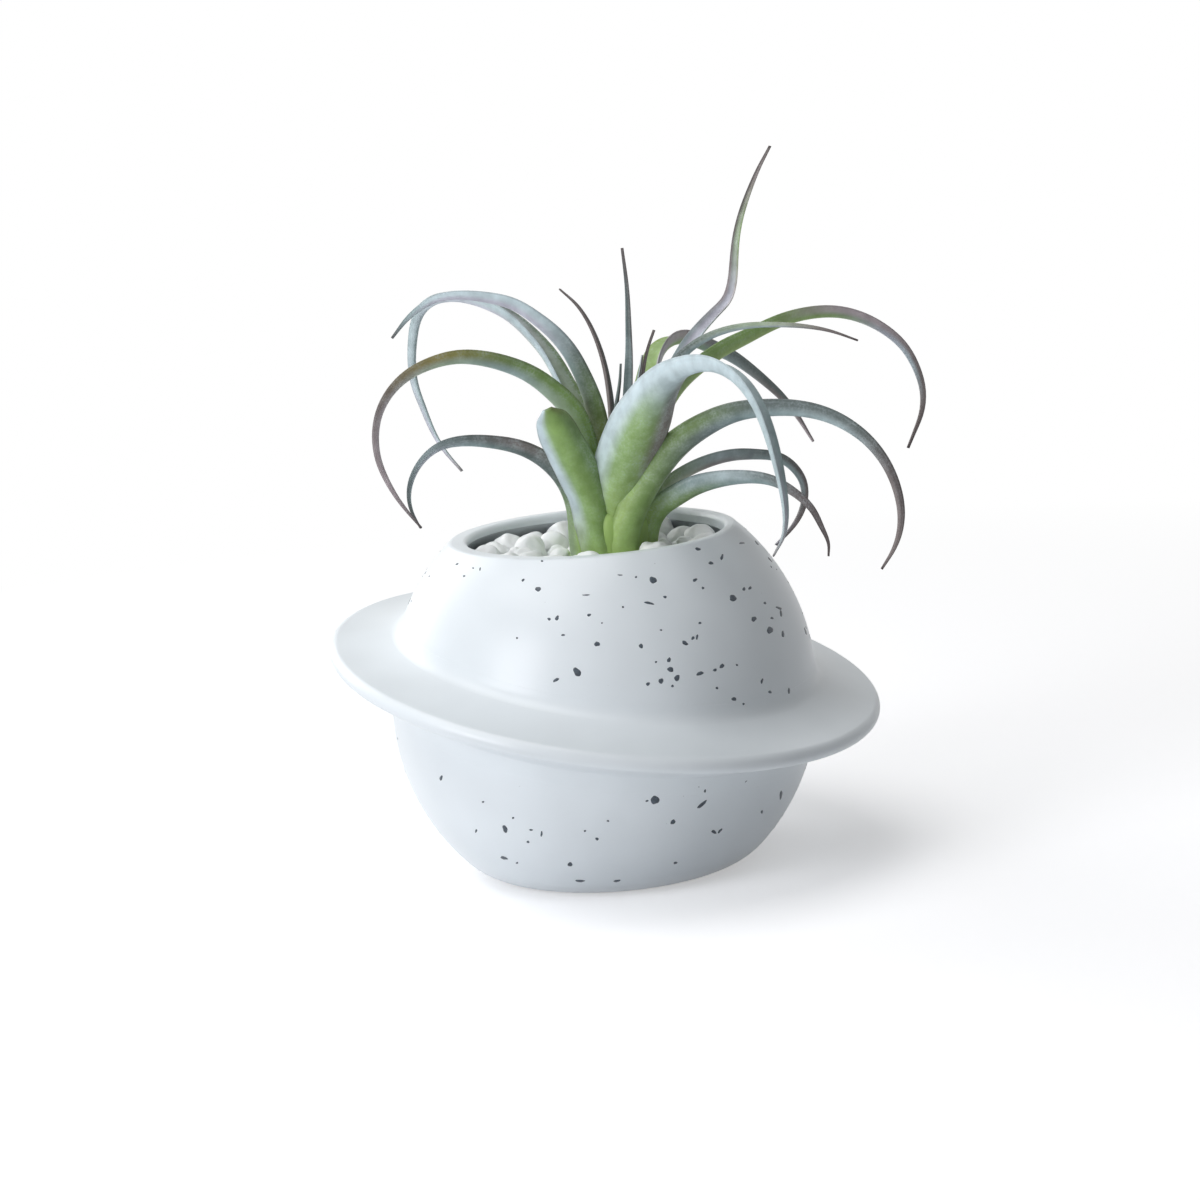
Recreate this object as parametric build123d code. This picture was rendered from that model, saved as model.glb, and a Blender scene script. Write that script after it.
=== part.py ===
# Air plant holder: a ball-shaped pot with a tilted ring round it, filled with foam and white
# stones, with a leafy rosette on a pick that lifts out of the foam. Millimetres, +Z up.
# The origin is at the middle of the foot's underside, +X is to the right and -Y to the front.
import os
from math import cos, degrees, hypot, pi, radians, sin, sqrt

from build123d import *

# Ball: two half balls of one size, the upper one's centre a little above the lower one's
ball_diameter = 103.0
half_ball_rise = 3.3
foot_diameter = 52.0
foot_rounding = 15.4
wall_thickness = 4.0
floor_thickness = 6.0

# Mouth: a round hole, a little to the right of the ball's middle, with a rounded rim
mouth_diameter = 62.0
mouth_offset = 0.8
rim_width = 3.4
rim_rounding = 1.2

# Ring: a brim that slopes down from the ball to a rounded edge
ring_diameter = 134.0
ring_lean_right = 10.5
ring_lean_front = 5.7
ring_rise = 4.5
ring_seat_depth = 0.2
ring_root_above = 5.4
ring_root_below = 10.2
ring_crest_inset = 2.0
ring_crest_above = 1.3
ring_edge_below = 0.7
ring_lip_inset = 1.8
ring_lip_below = 2.8
ring_top_sag = 0.7
ring_under_sag = 1.2

# Foam plug: goes in through the mouth and stands on the pot's floor
plug_mouth_gap = 1.0
fill_below_rim = 10.0

# Pick: a round stem in the foam, with a collar that rests on it and a peg for the crown
rosette_offset = 5.0
stem_diameter = 6.0
stem_length = 36.0
stem_point_length = 5.0
stem_point_diameter = 1.6
socket_gap = 0.15
socket_end_gap = 0.5
collar_diameter = 9.0
collar_thickness = 1.5
peg_diameter = 5.0
peg_length = 6.2
peg_gap = 0.05
peg_end_gap = 0.3

# Crown: three round steps and a top, and each tier of leaves stands on one step
crown_step_height = 2.5
crown_base_diameter = 21.2
outer_step_width = 2.8
middle_step_width = 2.9
inner_step_width = 2.5

# Stones: one bed on the foam, in rings round the mouth's middle
stone_width = 8.0
stone_height = 8.8
stone_sink = 0.8
stone_gap = 0.3
stone_crown_gap = 0.35
stone_wall_gap = 0.4

# Leaves: a channel in section, thickest along the midrib
broad_leaf_width = 15.0
leaf_root_thickness = 1.2
leaf_tip_thickness = 0.5
leaf_tip_width = 0.8
leaf_upright_length = 4.5
outer_seat_inset = 1.0
outer_seat_width = 6.4
middle_seat_inset = 1.2
middle_seat_width = 4.4
inner_seat_inset = 1.2
inner_seat_width = 2.9
rear_leaf_reach = 50.0
rear_leaf_rise = 29.0
leaf_stations = 24

# Where the leaves were traced from, held from the middle of the rosette's outer seat
view_distance = 800.0
view_aim_right = -4.36
view_aim_above = -10.95
view_down_angle = 10.94
view_roll_angle = -4.29
picture_middle_px = 600
focal_length_px = 3310

# Worked out from the sizes above
ball_radius = ball_diameter / 2
foot_radius = foot_diameter / 2
mouth_radius = mouth_diameter / 2
cavity_radius = ball_radius - wall_thickness
lower_centre = foot_rounding + sqrt((ball_radius - foot_rounding) ** 2 - foot_radius**2)
upper_centre = lower_centre + half_ball_rise
rim_radius = mouth_radius + rim_width
pot_height = upper_centre + sqrt(ball_radius**2 - rim_radius**2)
fill_height = pot_height - fill_below_rim
collar_top = fill_height + collar_thickness
middle_step_diameter = crown_base_diameter - 2 * outer_step_width
inner_step_diameter = middle_step_diameter - 2 * middle_step_width
crown_top_diameter = inner_step_diameter - 2 * inner_step_width
outer_seat_radius = crown_base_diameter / 2 - outer_seat_inset
middle_seat_radius = middle_step_diameter / 2 - middle_seat_inset
inner_seat_radius = inner_step_diameter / 2 - inner_seat_inset
outer_seat_height = collar_top + crown_step_height
middle_seat_height = outer_seat_height + crown_step_height
inner_seat_height = middle_seat_height + crown_step_height


def revolved(*edges):
    """Body of revolution about +Z of a closed outline, whose points are (radius, height)."""
    return revolve(Plane.XZ * make_face(Wire(edges)), Axis.Z)


def bulge(start, end, sag):
    """Outline arc between two points, bowed out to the right of the way from start to end."""
    run = Vector(*end) - Vector(*start)
    middle = (Vector(*start) + Vector(*end)) / 2 + run.normalized().rotate(Axis.Z, -90) * sag
    return ThreePointArc(start, (middle.X, middle.Y), end)


def round_about(middle_height, start, end):
    """Outline arc from start to end about a point of the axis."""
    centre = Vector(0, middle_height)
    halfway = (Vector(*start) - centre).normalized() + (Vector(*end) - centre).normalized()
    middle = centre + halfway.normalized() * (Vector(*start) - centre).length
    return ThreePointArc(start, (middle.X, middle.Y), end)


def ball_outside():
    """The ball as a full body, flat at the foot and at the rim."""
    reach = ball_radius / (ball_radius - foot_rounding)
    joint = (foot_radius * reach, lower_centre + (foot_rounding - lower_centre) * reach)
    foot_centre = Vector(foot_radius, foot_rounding)
    corner = (Vector(*joint) - foot_centre).normalized() - Vector(0, 1)
    turn = foot_centre + corner.normalized() * foot_rounding
    return revolved(
        Line((0, 0), (foot_radius, 0)),
        ThreePointArc((foot_radius, 0), (turn.X, turn.Y), joint),
        round_about(lower_centre, joint, (ball_radius, lower_centre)),
        Line((ball_radius, lower_centre), (ball_radius, upper_centre)),
        round_about(upper_centre, (ball_radius, upper_centre), (rim_radius, pot_height)),
        Line((rim_radius, pot_height), (0, pot_height)),
        Line((0, pot_height), (0, 0)),
    )


def ball_cavity():
    """The room in the ball, flat at the floor, up to where the mouth cuts in."""
    floor_radius = sqrt(cavity_radius**2 - (lower_centre - floor_thickness) ** 2)
    neck_radius = mouth_radius - mouth_offset
    neck_height = upper_centre + sqrt(cavity_radius**2 - neck_radius**2)
    return revolved(
        Line((0, floor_thickness), (floor_radius, floor_thickness)),
        round_about(lower_centre, (floor_radius, floor_thickness), (cavity_radius, lower_centre)),
        Line((cavity_radius, lower_centre), (cavity_radius, upper_centre)),
        round_about(upper_centre, (cavity_radius, upper_centre), (neck_radius, neck_height)),
        Line((neck_radius, neck_height), (0, neck_height)),
        Line((0, neck_height), (0, floor_thickness)),
    )


def upright(radius, low, high, x=0):
    """Upright cylinder between two heights."""
    return Pos(x, 0, (low + high) / 2) * Cylinder(radius, high - low)


def tilted_ring():
    """The ring, turned in its own frame and then leant over about the upper half ball's centre."""
    seat = sqrt(ball_radius**2 - (ring_rise + ring_root_above) ** 2) - ring_seat_depth
    outside = ring_diameter / 2
    root = (seat, ring_root_above)
    crest = (outside - ring_crest_inset, ring_crest_above)
    edge = (outside, -ring_edge_below)
    lip = (outside - ring_lip_inset, -ring_lip_below)
    under = (seat, -ring_root_below)
    section = revolved(
        bulge(root, crest, ring_top_sag),
        ThreePointArc(crest, edge, lip),
        bulge(lip, under, ring_under_sag),
        Line(under, root),
    )
    lean = Vector(sin(radians(ring_lean_right)), -sin(radians(ring_lean_front)))
    axis = lean + Vector(0, 0, sqrt(1 - lean.length**2))
    middle = Vector(0, 0, upper_centre) + axis * ring_rise
    return Plane(origin=middle, z_dir=axis).location * section


def pot_body():
    """The hollow ball, with its rounded rim and the shallow seat that the ring fills."""
    top_height = pot_height - floor_thickness
    ball = ball_outside() - ball_cavity() - upright(mouth_radius, top_height / 2, pot_height, mouth_offset)
    rim = ball.edges().filter_by_position(Axis.Z, pot_height, pot_height)
    return fillet(rim, rim_rounding) - tilted_ring()


def foam_plug():
    """The foam block, with the socket that the pick is pushed into."""
    block = upright(mouth_radius - plug_mouth_gap, floor_thickness, fill_height, mouth_offset)
    socket_floor = fill_height - stem_length - socket_end_gap
    return block - upright(stem_diameter / 2 + socket_gap, socket_floor, fill_height, rosette_offset)


def stem_pick():
    """The plant's pick: pointed stem, collar and peg in one turned piece."""
    point = fill_height - stem_length
    peg_top = collar_top + peg_length
    outline = Polyline(
        (0, point),
        (stem_point_diameter / 2, point),
        (stem_diameter / 2, point + stem_point_length),
        (stem_diameter / 2, fill_height),
        (collar_diameter / 2, fill_height),
        (collar_diameter / 2, collar_top),
        (peg_diameter / 2, collar_top),
        (peg_diameter / 2, peg_top),
        (0, peg_top),
        close=True,
    )
    return Pos(rosette_offset, 0, 0) * revolved(*outline.edges())


def crown():
    """The stepped core that the leaves stand on, bored to turn on the pick's peg."""
    diameters = (crown_base_diameter, middle_step_diameter, inner_step_diameter, crown_top_diameter)
    steps = [
        upright(diameter / 2, collar_top, collar_top + (index + 1) * crown_step_height, rosette_offset)
        for index, diameter in enumerate(diameters)
    ]
    bore_top = collar_top + peg_length + peg_end_gap
    core = steps[0] + steps[1] + steps[2] + steps[3]
    return core - upright(peg_diameter / 2 + peg_gap, collar_top, bore_top, rosette_offset)


# How each stone differs from the next one: its width, depth and height as shares of the largest
# stone's, and then its turn from its ring and its tilt in degrees
stone_shares = (
    (1.0, 0.93, 0.84, 0, 12),
    (0.94, 1.0, 0.93, 10, -16),
    (1.0, 0.9, 0.78, -15, 9),
    (0.92, 0.96, 1.0, 5, -14),
    (0.98, 0.94, 0.74, 20, 16),
    (0.93, 1.0, 0.88, -10, 7),
    (0.97, 0.92, 0.97, 0, -18),
    (0.95, 0.95, 0.81, -20, 14),
    (1.0, 0.98, 0.9, 15, -8),
)


def pebbles():
    """Stones in staggered rings, each pressed a little way into the foam, with none under the crown."""
    pitch = stone_width + stone_gap
    ring_reach = mouth_radius - stone_wall_gap - stone_width / 2
    least_from_crown = (crown_base_diameter + stone_width) / 2 + stone_crown_gap
    above_foam = upright(mouth_radius, fill_height, pot_height + stone_height, mouth_offset)
    stones = []
    for ring in range(int(ring_reach / pitch)):
        reach = ring_reach - pitch * ring
        count = int(2 * pi * reach / pitch)
        for index in range(count):
            turn = 2 * pi * (index + ring / 2) / count
            x = mouth_offset + reach * cos(turn)
            y = reach * sin(turn)
            if hypot(x - rosette_offset, y) < least_from_crown:
                continue
            wide_share, deep_share, high_share, spin, tilt = stone_shares[len(stones) % len(stone_shares)]
            half_height = stone_height * high_share / 2
            size = (stone_width * wide_share / 2, stone_width * deep_share / 2, half_height)
            stone = Rot(0, 0, degrees(turn) + spin) * Rot(0, tilt, 0) * scale(Sphere(radius=1), by=size)
            stones.append(above_foam & Pos(x, y, fill_height + half_height - stone_sink) * stone)
    return Compound(children=[stone.solid() for stone in stones])


# Each tier of leaves: seat radius, height and width
tiers = {
    "outer": (outer_seat_radius, outer_seat_height, outer_seat_width),
    "middle": (middle_seat_radius, middle_seat_height, middle_seat_width),
    "inner": (inner_seat_radius, inner_seat_height, inner_seat_width),
}

# Width and channel depth along a leaf, as shares of its own width, each at a share of its length
slender_shares = (
    (0.08, 0.85, 0.24),
    (0.18, 1.0, 0.30),
    (0.30, 0.92, 0.28),
    (0.44, 0.74, 0.24),
    (0.58, 0.58, 0.20),
    (0.72, 0.43, 0.15),
    (0.86, 0.28, 0.10),
)
broad_shares = (
    (0.08, 0.62, 0.20),
    (0.18, 1.0, 0.30),
    (0.29, 0.95, 0.30),
    (0.38, 0.66, 0.22),
    (0.48, 0.42, 0.15),
    (0.62, 0.31, 0.11),
    (0.80, 0.22, 0.08),
)
blunt_shares = (
    (0.12, 0.72, 0.22),
    (0.30, 0.92, 0.28),
    (0.50, 1.0, 0.30),
    (0.68, 0.98, 0.30),
    (0.84, 0.86, 0.26),
    (0.94, 0.62, 0.18),
)

# Each leaf: its tier, its seat's turn about the axis and the way it heads, in degrees from +X,
# its width as a share of the broadest leaf's, and the midrib as it was traced
leaves = {
    "leaf_left_low": dict(
        tier="outer", seat_turn=-164, heading=-155, width_share=0.44, along=slender_shares,
        traced_px=((572, 505), (562, 482), (545, 464), (522, 451), (490, 444), (460, 443),
                   (437, 449), (420, 464), (411, 482), (409, 500), (413, 515), (420, 528)),
    ),
    "leaf_left_blunt": dict(
        tier="outer", seat_turn=-115, heading=-142, width_share=0.62, along=blunt_shares,
        traced_px=((590, 500), (576, 465), (563, 435), (552, 412)),
    ),
    "leaf_left_middle": dict(
        tier="middle", seat_turn=-147, heading=-152, width_share=0.47, along=slender_shares,
        traced_px=((587, 480), (580, 440), (568, 412), (550, 393), (530, 378), (505, 367),
                   (480, 361), (455, 360), (430, 366), (408, 377), (391, 393), (380, 413),
                   (376, 437), (379, 460), (387, 480), (398, 499), (410, 515), (421, 528)),
    ),
    "leaf_left_high": dict(
        tier="middle", seat_turn=152, heading=171, width_share=0.53, along=slender_shares,
        traced_px=((597, 440), (590, 402), (580, 377), (567, 353), (551, 334), (533, 319),
                   (514, 307), (490, 300), (465, 297), (440, 299), (420, 309), (405, 322),
                   (392, 338)),
    ),
    "leaf_left_rear": dict(
        tier="middle", seat_turn=91, heading=137, width_share=0.42, along=slender_shares,
        traced_px=((592, 450), (577, 412), (562, 383), (548, 358), (530, 336), (510, 318),
                   (490, 307), (468, 300), (445, 299), (428, 306), (418, 320), (414, 340),
                   (413, 362), (416, 385), (423, 405), (433, 430), (446, 452), (462, 471)),
    ),
    "leaf_centre_curled": dict(
        tier="inner", seat_turn=128, heading=125, width_share=0.2, along=slender_shares,
        traced_px=((610, 450), (611, 420), (609, 395), (605, 370), (598, 345), (588, 322),
                   (575, 303), (560, 289)),
    ),
    "leaf_centre_tall": dict(
        tier="inner", seat_turn=29, heading=5, width_share=0.26, along=slender_shares,
        traced_px=((622, 470), (627, 430), (629, 390), (630, 355), (629, 320), (627, 285),
                   (622, 248)),
    ),
    "leaf_centre_brown": dict(
        tier="inner", seat_turn=80, heading=37, width_share=0.2, along=slender_shares,
        traced_px=((628, 460), (636, 420), (641, 388), (645, 362), (649, 345), (654, 330)),
    ),
    "leaf_centre_short": dict(
        tier="inner", seat_turn=177, heading=120, width_share=0.2, along=slender_shares,
        traced_px=((610, 455), (614, 425), (617, 400), (620, 380), (621, 364)),
    ),
    "leaf_centre_pale": dict(
        tier="inner", seat_turn=-84, heading=-20, width_share=0.2, along=slender_shares,
        traced_px=((622, 460), (631, 425), (636, 395), (640, 370), (642, 355)),
    ),
    "leaf_right_tall": dict(
        tier="inner", seat_turn=-33, heading=44, width_share=0.36, along=slender_shares,
        traced_px=((634, 480), (648, 440), (662, 400), (676, 370), (690, 345), (704, 327),
                   (718, 312), (728, 300), (733, 284), (735, 262), (737, 238), (742, 214),
                   (750, 190), (759, 168), (770, 146)),
    ),
    "leaf_right_rear": dict(
        tier="outer", seat_turn=110, heading=48, width_share=0.44, along=slender_shares,
        traced_px=((632, 480), (641, 445), (648, 410), (652, 380), (658, 355), (670, 342),
                   (686, 340), (705, 347), (728, 357), (748, 370), (768, 386), (785, 402),
                   (798, 418), (806, 430), (813, 441)),
    ),
    "leaf_right_high": dict(
        tier="middle", seat_turn=41, heading=29, width_share=0.5, along=slender_shares,
        traced_px=((636, 480), (648, 448), (662, 415), (680, 386), (702, 366), (722, 352),
                   (745, 340), (775, 325), (805, 316), (835, 314), (862, 320), (885, 332),
                   (903, 348), (915, 368), (922, 392), (921, 412), (915, 430), (908, 448)),
    ),
    "leaf_right_thin": dict(
        tier="middle", seat_turn=-15, heading=-20, width_share=0.3, along=slender_shares,
        traced_px=((640, 480), (648, 445), (656, 410), (668, 378), (683, 356), (702, 341),
                   (725, 331), (750, 326), (780, 325), (810, 327), (835, 332), (858, 340)),
    ),
    "leaf_front_broad": dict(
        tier="middle", seat_turn=-85, heading=-58, width_share=1.0, along=broad_shares,
        traced_px=((616, 505), (622, 480), (630, 452), (640, 428), (652, 403), (668, 382),
                   (690, 369), (712, 367), (732, 376), (748, 393), (760, 415), (769, 440),
                   (776, 465), (782, 492), (785, 517), (783, 537), (774, 556)),
    ),
    "leaf_right_front": dict(
        tier="outer", seat_turn=-70, heading=-14, width_share=0.6, along=slender_shares,
        traced_px=((641, 502), (654, 479), (670, 458), (690, 440), (712, 426), (738, 415),
                   (765, 411), (795, 411), (822, 416), (847, 427), (868, 443), (884, 463),
                   (895, 487), (900, 512), (898, 536), (891, 554), (882, 569)),
    ),
    "leaf_right_middle": dict(
        tier="outer", seat_turn=23, heading=39, width_share=0.4, along=slender_shares,
        traced_px=((652, 500), (666, 485), (685, 473), (708, 463), (732, 457), (757, 456),
                   (778, 459), (794, 470), (803, 486), (803, 503), (797, 519), (787, 533),
                   (776, 545)),
    ),
    "leaf_right_low": dict(
        tier="outer", seat_turn=-19, heading=-25, width_share=0.52, along=slender_shares,
        traced_px=((662, 510), (676, 500), (694, 490), (715, 483), (745, 479), (772, 482),
                   (795, 494), (812, 510), (822, 528), (829, 545), (829, 556)),
    ),
    "leaf_rear_right": dict(
        tier="outer", seat_turn=63, heading=109, width_share=0.46, along=slender_shares,
        arch_shares=((0.08, 0.45), (0.22, 0.78), (0.42, 0.98), (0.62, 1.0), (0.80, 0.84),
                     (0.93, 0.58), (1.0, 0.32)),
    ),
    "leaf_rear_left": dict(
        tier="outer", seat_turn=144, heading=100, width_share=0.46, along=slender_shares,
        arch_shares=((0.08, 0.42), (0.22, 0.72), (0.40, 0.88), (0.58, 0.88), (0.72, 0.78)),
    ),
}

rosette_seat = Vector(rosette_offset, 0, outer_seat_height)
down_angle = radians(view_down_angle)
view_ahead = Vector(0, cos(down_angle), -sin(down_angle))
level_up = Vector(0, sin(down_angle), cos(down_angle))
view_right = Vector(1, 0, 0).rotate(Axis((0, 0, 0), view_ahead), -view_roll_angle)
view_up = level_up.rotate(Axis((0, 0, 0), view_ahead), -view_roll_angle)
view_point = rosette_seat + Vector(view_aim_right, 0, view_aim_above) - view_ahead * view_distance


def outward(degrees):
    """Level direction at a turn about +Z from +X."""
    return Vector(cos(radians(degrees)), sin(radians(degrees)), 0)


def traced_point(pixel, seat, heading):
    """Where the line of sight through a pixel meets the upright plane that a leaf lies in."""
    right_share = (pixel[0] - picture_middle_px) / focal_length_px
    up_share = (picture_middle_px - pixel[1]) / focal_length_px
    sight = view_ahead + view_right * right_share + view_up * up_share
    across = outward(heading + 90)
    return view_point + sight * ((seat - view_point).dot(across) / sight.dot(across))


def midrib(leaf, seat):
    """The leaf's midrib: straight up off its seat, and then through its traced points."""
    if "traced_px" in leaf:
        points = [traced_point(pixel, seat, leaf["heading"]) for pixel in leaf["traced_px"]]
    else:
        ahead = outward(leaf["heading"])
        points = [
            seat + ahead * rear_leaf_reach * reach_share + Vector(0, 0, rear_leaf_rise * rise_share)
            for reach_share, rise_share in leaf["arch_shares"]
        ]
    last_way = (points[-1] - points[-2]).normalized()
    lifted = seat + Vector(0, 0, leaf_upright_length)
    return Spline(seat, lifted, *points, tangents=((0, 0, 1), last_way))


def channel(middle, across, upper, width, depth, thickness):
    """Crescent section of a leaf: its edges stand above its midrib by the channel's depth."""
    left = middle - across * (width / 2) + upper * depth
    right = middle + across * (width / 2) + upper * depth
    half = upper * (thickness / 2)
    outer = ThreePointArc(left, middle - half, right)
    inner = ThreePointArc(right, middle + half, left)
    return Face(Wire([outer, inner]))


def between(rows, share):
    """The values of a table's rows at a share of the length, in a straight line from row to row."""
    for row, after in zip(rows, rows[1:]):
        if share <= after[0]:
            part = (share - row[0]) / (after[0] - row[0])
            return [value + (next_value - value) * part for value, next_value in zip(row[1:], after[1:])]


def leaf_solid(leaf):
    """One leaf, lofted through its sections from its seat to its tip."""
    seat_radius, seat_height, seat_width = tiers[leaf["tier"]]
    seat = Vector(rosette_offset, 0, seat_height) + outward(leaf["seat_turn"]) * seat_radius
    rib = midrib(leaf, seat)
    width = broad_leaf_width * leaf["width_share"]
    seat_depth = seat_radius - sqrt(seat_radius**2 - seat_width**2 / 4)
    rows = [(0, seat_width, seat_depth)]
    for share, wide_share, deep_share in leaf["along"]:
        rows.append((share, width * wide_share, width * deep_share))
    rows.append((1, leaf_tip_width, 0))
    sections = []
    for station in range(leaf_stations + 1):
        share = station / leaf_stations
        section_width, depth = between(rows, share)
        way = rib % share
        turn = leaf["seat_turn"] + (leaf["heading"] - leaf["seat_turn"]) * min(1, 2 * share)
        across = outward(turn - 90)
        across = (across - way * across.dot(way)).normalized()
        thickness = leaf_root_thickness + (leaf_tip_thickness - leaf_root_thickness) * share
        sections.append(channel(rib @ share, across, across.cross(way), section_width, depth, thickness))
    return loft(sections, ruled=True)


def save(name, shape):
    shape.label = name
    export_step(shape, f"parts/{name}.step")


def clear_of(shape, others):
    """The shape, trimmed where it presses on others that are already in place."""
    box = shape.bounding_box()
    for other in others:
        if box.overlaps(other.bounding_box()):
            shape = shape - other
    return max(shape.solids(), key=lambda solid: solid.volume)


os.makedirs("parts", exist_ok=True)
save("pot_body", pot_body())
save("tilted_ring", tilted_ring())
save("foam_plug", foam_plug())
save("pebbles", pebbles())
save("stem_pick", stem_pick())
save("crown", crown())
placed = []
for leaf_name, leaf in leaves.items():
    placed.append(clear_of(leaf_solid(leaf), placed))
    save(leaf_name, placed[-1])
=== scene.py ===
# Looks of the air plant holder: a speckled ball-shaped pot with a tilted ring, white stones and a
# leafy artificial air plant. Metres, +Z up, -Y to the front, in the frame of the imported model.
import random
from math import atan2, cos, exp, hypot, log, pi, radians, sin, sqrt

import bmesh
import bpy
import numpy as np
from mathutils import Matrix, Vector, noise


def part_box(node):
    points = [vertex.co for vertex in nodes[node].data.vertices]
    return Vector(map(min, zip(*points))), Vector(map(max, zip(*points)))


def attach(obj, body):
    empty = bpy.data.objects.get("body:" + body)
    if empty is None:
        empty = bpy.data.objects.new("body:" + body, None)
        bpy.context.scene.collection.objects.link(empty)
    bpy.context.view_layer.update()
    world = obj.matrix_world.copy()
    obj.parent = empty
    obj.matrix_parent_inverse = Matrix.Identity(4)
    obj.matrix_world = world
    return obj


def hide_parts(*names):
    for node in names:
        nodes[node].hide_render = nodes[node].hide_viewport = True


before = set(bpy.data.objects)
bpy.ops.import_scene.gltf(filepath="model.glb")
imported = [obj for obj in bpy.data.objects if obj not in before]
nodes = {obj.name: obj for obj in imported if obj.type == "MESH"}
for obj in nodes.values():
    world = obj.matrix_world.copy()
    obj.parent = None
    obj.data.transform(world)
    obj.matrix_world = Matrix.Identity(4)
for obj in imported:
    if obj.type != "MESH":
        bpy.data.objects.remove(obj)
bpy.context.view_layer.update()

MM = 0.001
UP = Vector((0, 0, 1))

# Sizes read from the frame

pot_low, pot_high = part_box("pot_body")
foam_low, foam_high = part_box("foam_plug")
crown_low, crown_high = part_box("crown")
ball_radius = (pot_high.x - pot_low.x) / 2
rim_height = pot_high.z
fill_height = foam_high.z
collar_top = crown_low.z
mouth_offset = (foam_low.x + foam_high.x) / 2
rosette_offset = (crown_low.x + crown_high.x) / 2
crown_radius = (crown_high.x - crown_low.x) / 2

# The pot: two half balls with an upright belt between them, cut flat at the foot and the mouth

half_ball_rise = 3.3 * MM
foot_radius = 26.0 * MM
foot_rounding = 15.4 * MM
rim_radius = 34.4 * MM
mouth_radius = 31.0 * MM
lower_centre = foot_rounding + sqrt((ball_radius - foot_rounding) ** 2 - foot_radius**2)
upper_centre = lower_centre + half_ball_rise

# The ring round the pot, and the glaze that pooled where it meets the ball

ring_radius = 67.0 * MM
ring_lean_right = radians(10.5)
ring_lean_front = radians(5.7)
ring_rise = 4.5 * MM
ring_seat_depth = 0.2 * MM
ring_root_above = 5.4 * MM
ring_root_below = 10.2 * MM
ring_crest_inset = 2.0 * MM
ring_crest_above = 1.3 * MM
ring_lip_inset = 1.8 * MM
ring_lip_below = 2.8 * MM
ring_top_sag = 0.7 * MM
ring_under_sag = 1.2 * MM
ring_way = Vector((sin(ring_lean_right), -sin(ring_lean_front), 0))
ring_axis = ring_way + UP * sqrt(1 - ring_way.length**2)
ring_middle = Vector((0, 0, upper_centre)) + ring_axis * ring_rise

glaze_pool = 2.6 * MM
glaze_bite = 0.5 * MM
glaze_feather = 0.6 * MM
glaze_sink = 0.05 * MM
glaze_turns = 288
glaze_steps = 8

# Iron spots in the glaze

spot_proud = 0.035 * MM
spot_depth = 0.25 * MM
spot_edge_sunk_share = 0.5
spot_shoulder_share = 0.75
spot_crown_share = 1.3
spot_corners = 16
spot_lobes = 2, 3, 5
spot_lobe_shares = 0.10, 0.08, 0.05
spot_seed = 11
hidden_spots = 150
hidden_spot_turns = -20, 200
hidden_spot_height_shares = 0.06, 0.97
hidden_spot_lengths_mm = 0.5, 0.5, 0.6, 0.7, 0.8, 0.9, 1.1, 1.3, 1.6, 2.0
hidden_spot_width_shares = 0.35, 1.0
bare_beside_ring = 3.0 * MM
bare_beside_foot = 8.0 * MM
bare_beside_rim = 2.0 * MM

# Stones: large ones in rings from the wall inwards, and small ones in the gaps that they leave

stone_width = 8.0 * MM
stone_height = 8.8 * MM
stone_swell_share = 1.14
stone_sink = 0.8 * MM
stone_gap = 0.3 * MM
stone_crown_gap = 0.35 * MM
stone_wall_gap = 0.4 * MM
small_stone_width = 5.6 * MM
small_stone_height = 7.6 * MM
small_stone_least_pitch = 4.3 * MM
small_stone_wall_share = 0.55
small_stone_cup_share = 0.68
small_stone_nearest_cup_share = 0.67
small_stone_nearest_wall_share = 0.5
small_stone_wall_places = 40
small_stone_cup_places = 24
small_stone_rings_mm = range(2, 29)
small_stone_places_per_mm = 2
stone_flats = 9
stone_flat_shares = 0.80, 0.96
stone_flat_blend_share = 0.05
stone_waver_share = 0.12
stone_wavers = 1.7
stone_waver_shifts = 7.3, 3.1, 1.7
stone_subdivisions = 4

# The plant

crown_step_height = 2.5 * MM
cup_radius = 9.9 * MM
cup_sides = 96
cup_lobes = 8
cup_lobe_share = 0.015
outer_seat_height = collar_top + crown_step_height
outer_seat_radius = 9.6 * MM
outer_seat_width = 8.6 * MM
middle_seat_radius = 6.6 * MM
middle_seat_width = 6.4 * MM
inner_seat_radius = 3.7 * MM
inner_seat_width = 3.2 * MM
broad_leaf_width = 15.0 * MM
leaf_tip_width = 0.7 * MM
leaf_upright_length = 4.5 * MM
leaf_root_above_collar = 0.6 * MM
leaf_root_thickness = 1.3 * MM
leaf_least_thickness = 0.45 * MM
leaf_fullness_share = 0.26
leaf_thinning_share = 0.3
leaf_upper_fullness_share = 0.25
leaf_lower_fullness_share = 0.75
leaf_channel_power = 1.8
leaf_turned_by_share = 0.5
leaf_twisted_by_share = 0.25
leaf_width_waver_share = 0.05
leaf_width_wavers = 9
leaf_twist_waver = radians(12)
leaf_twist_wavers = 4
leaf_edge_from_share = 0.3
leaf_edge_full_share = 0.8
# Painted shade: the leaves' upper, channel face keeps this share of its colour
leaf_upper_painted_shade_share = 0.86
leaf_rim_from_share = 0.95
# Painted shade: a leaf's rounded rims, past the share of half width above, keep this share of their colour
leaf_rim_painted_shade_share = 0.74
leaf_dusty_by_share = 0.2
leaf_clean_tip_share = 0.4
leaf_vein_waves = 5.5
leaf_width_noise_layer = 0
leaf_twist_noise_layer = 5
leaf_seeds = 97
leaf_easing_shares = -0.03, -0.015, 0, 0.015, 0.03
leaf_stations = 96
leaf_corners = 32
rear_leaf_reach = 50.0 * MM
rear_leaf_rise = 29.0 * MM

# The camera, and what the traced pixels are measured from

view_distance = 800.0 * MM
view_aim_right = -4.36 * MM
view_aim_above = -10.95 * MM
view_down_angle = radians(10.94)
view_roll_angle = radians(-4.29)
picture_width_px = 1200
picture_middle_px = picture_width_px / 2
focal_length_px = 3310
sensor_width_mm = 36.0

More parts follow.
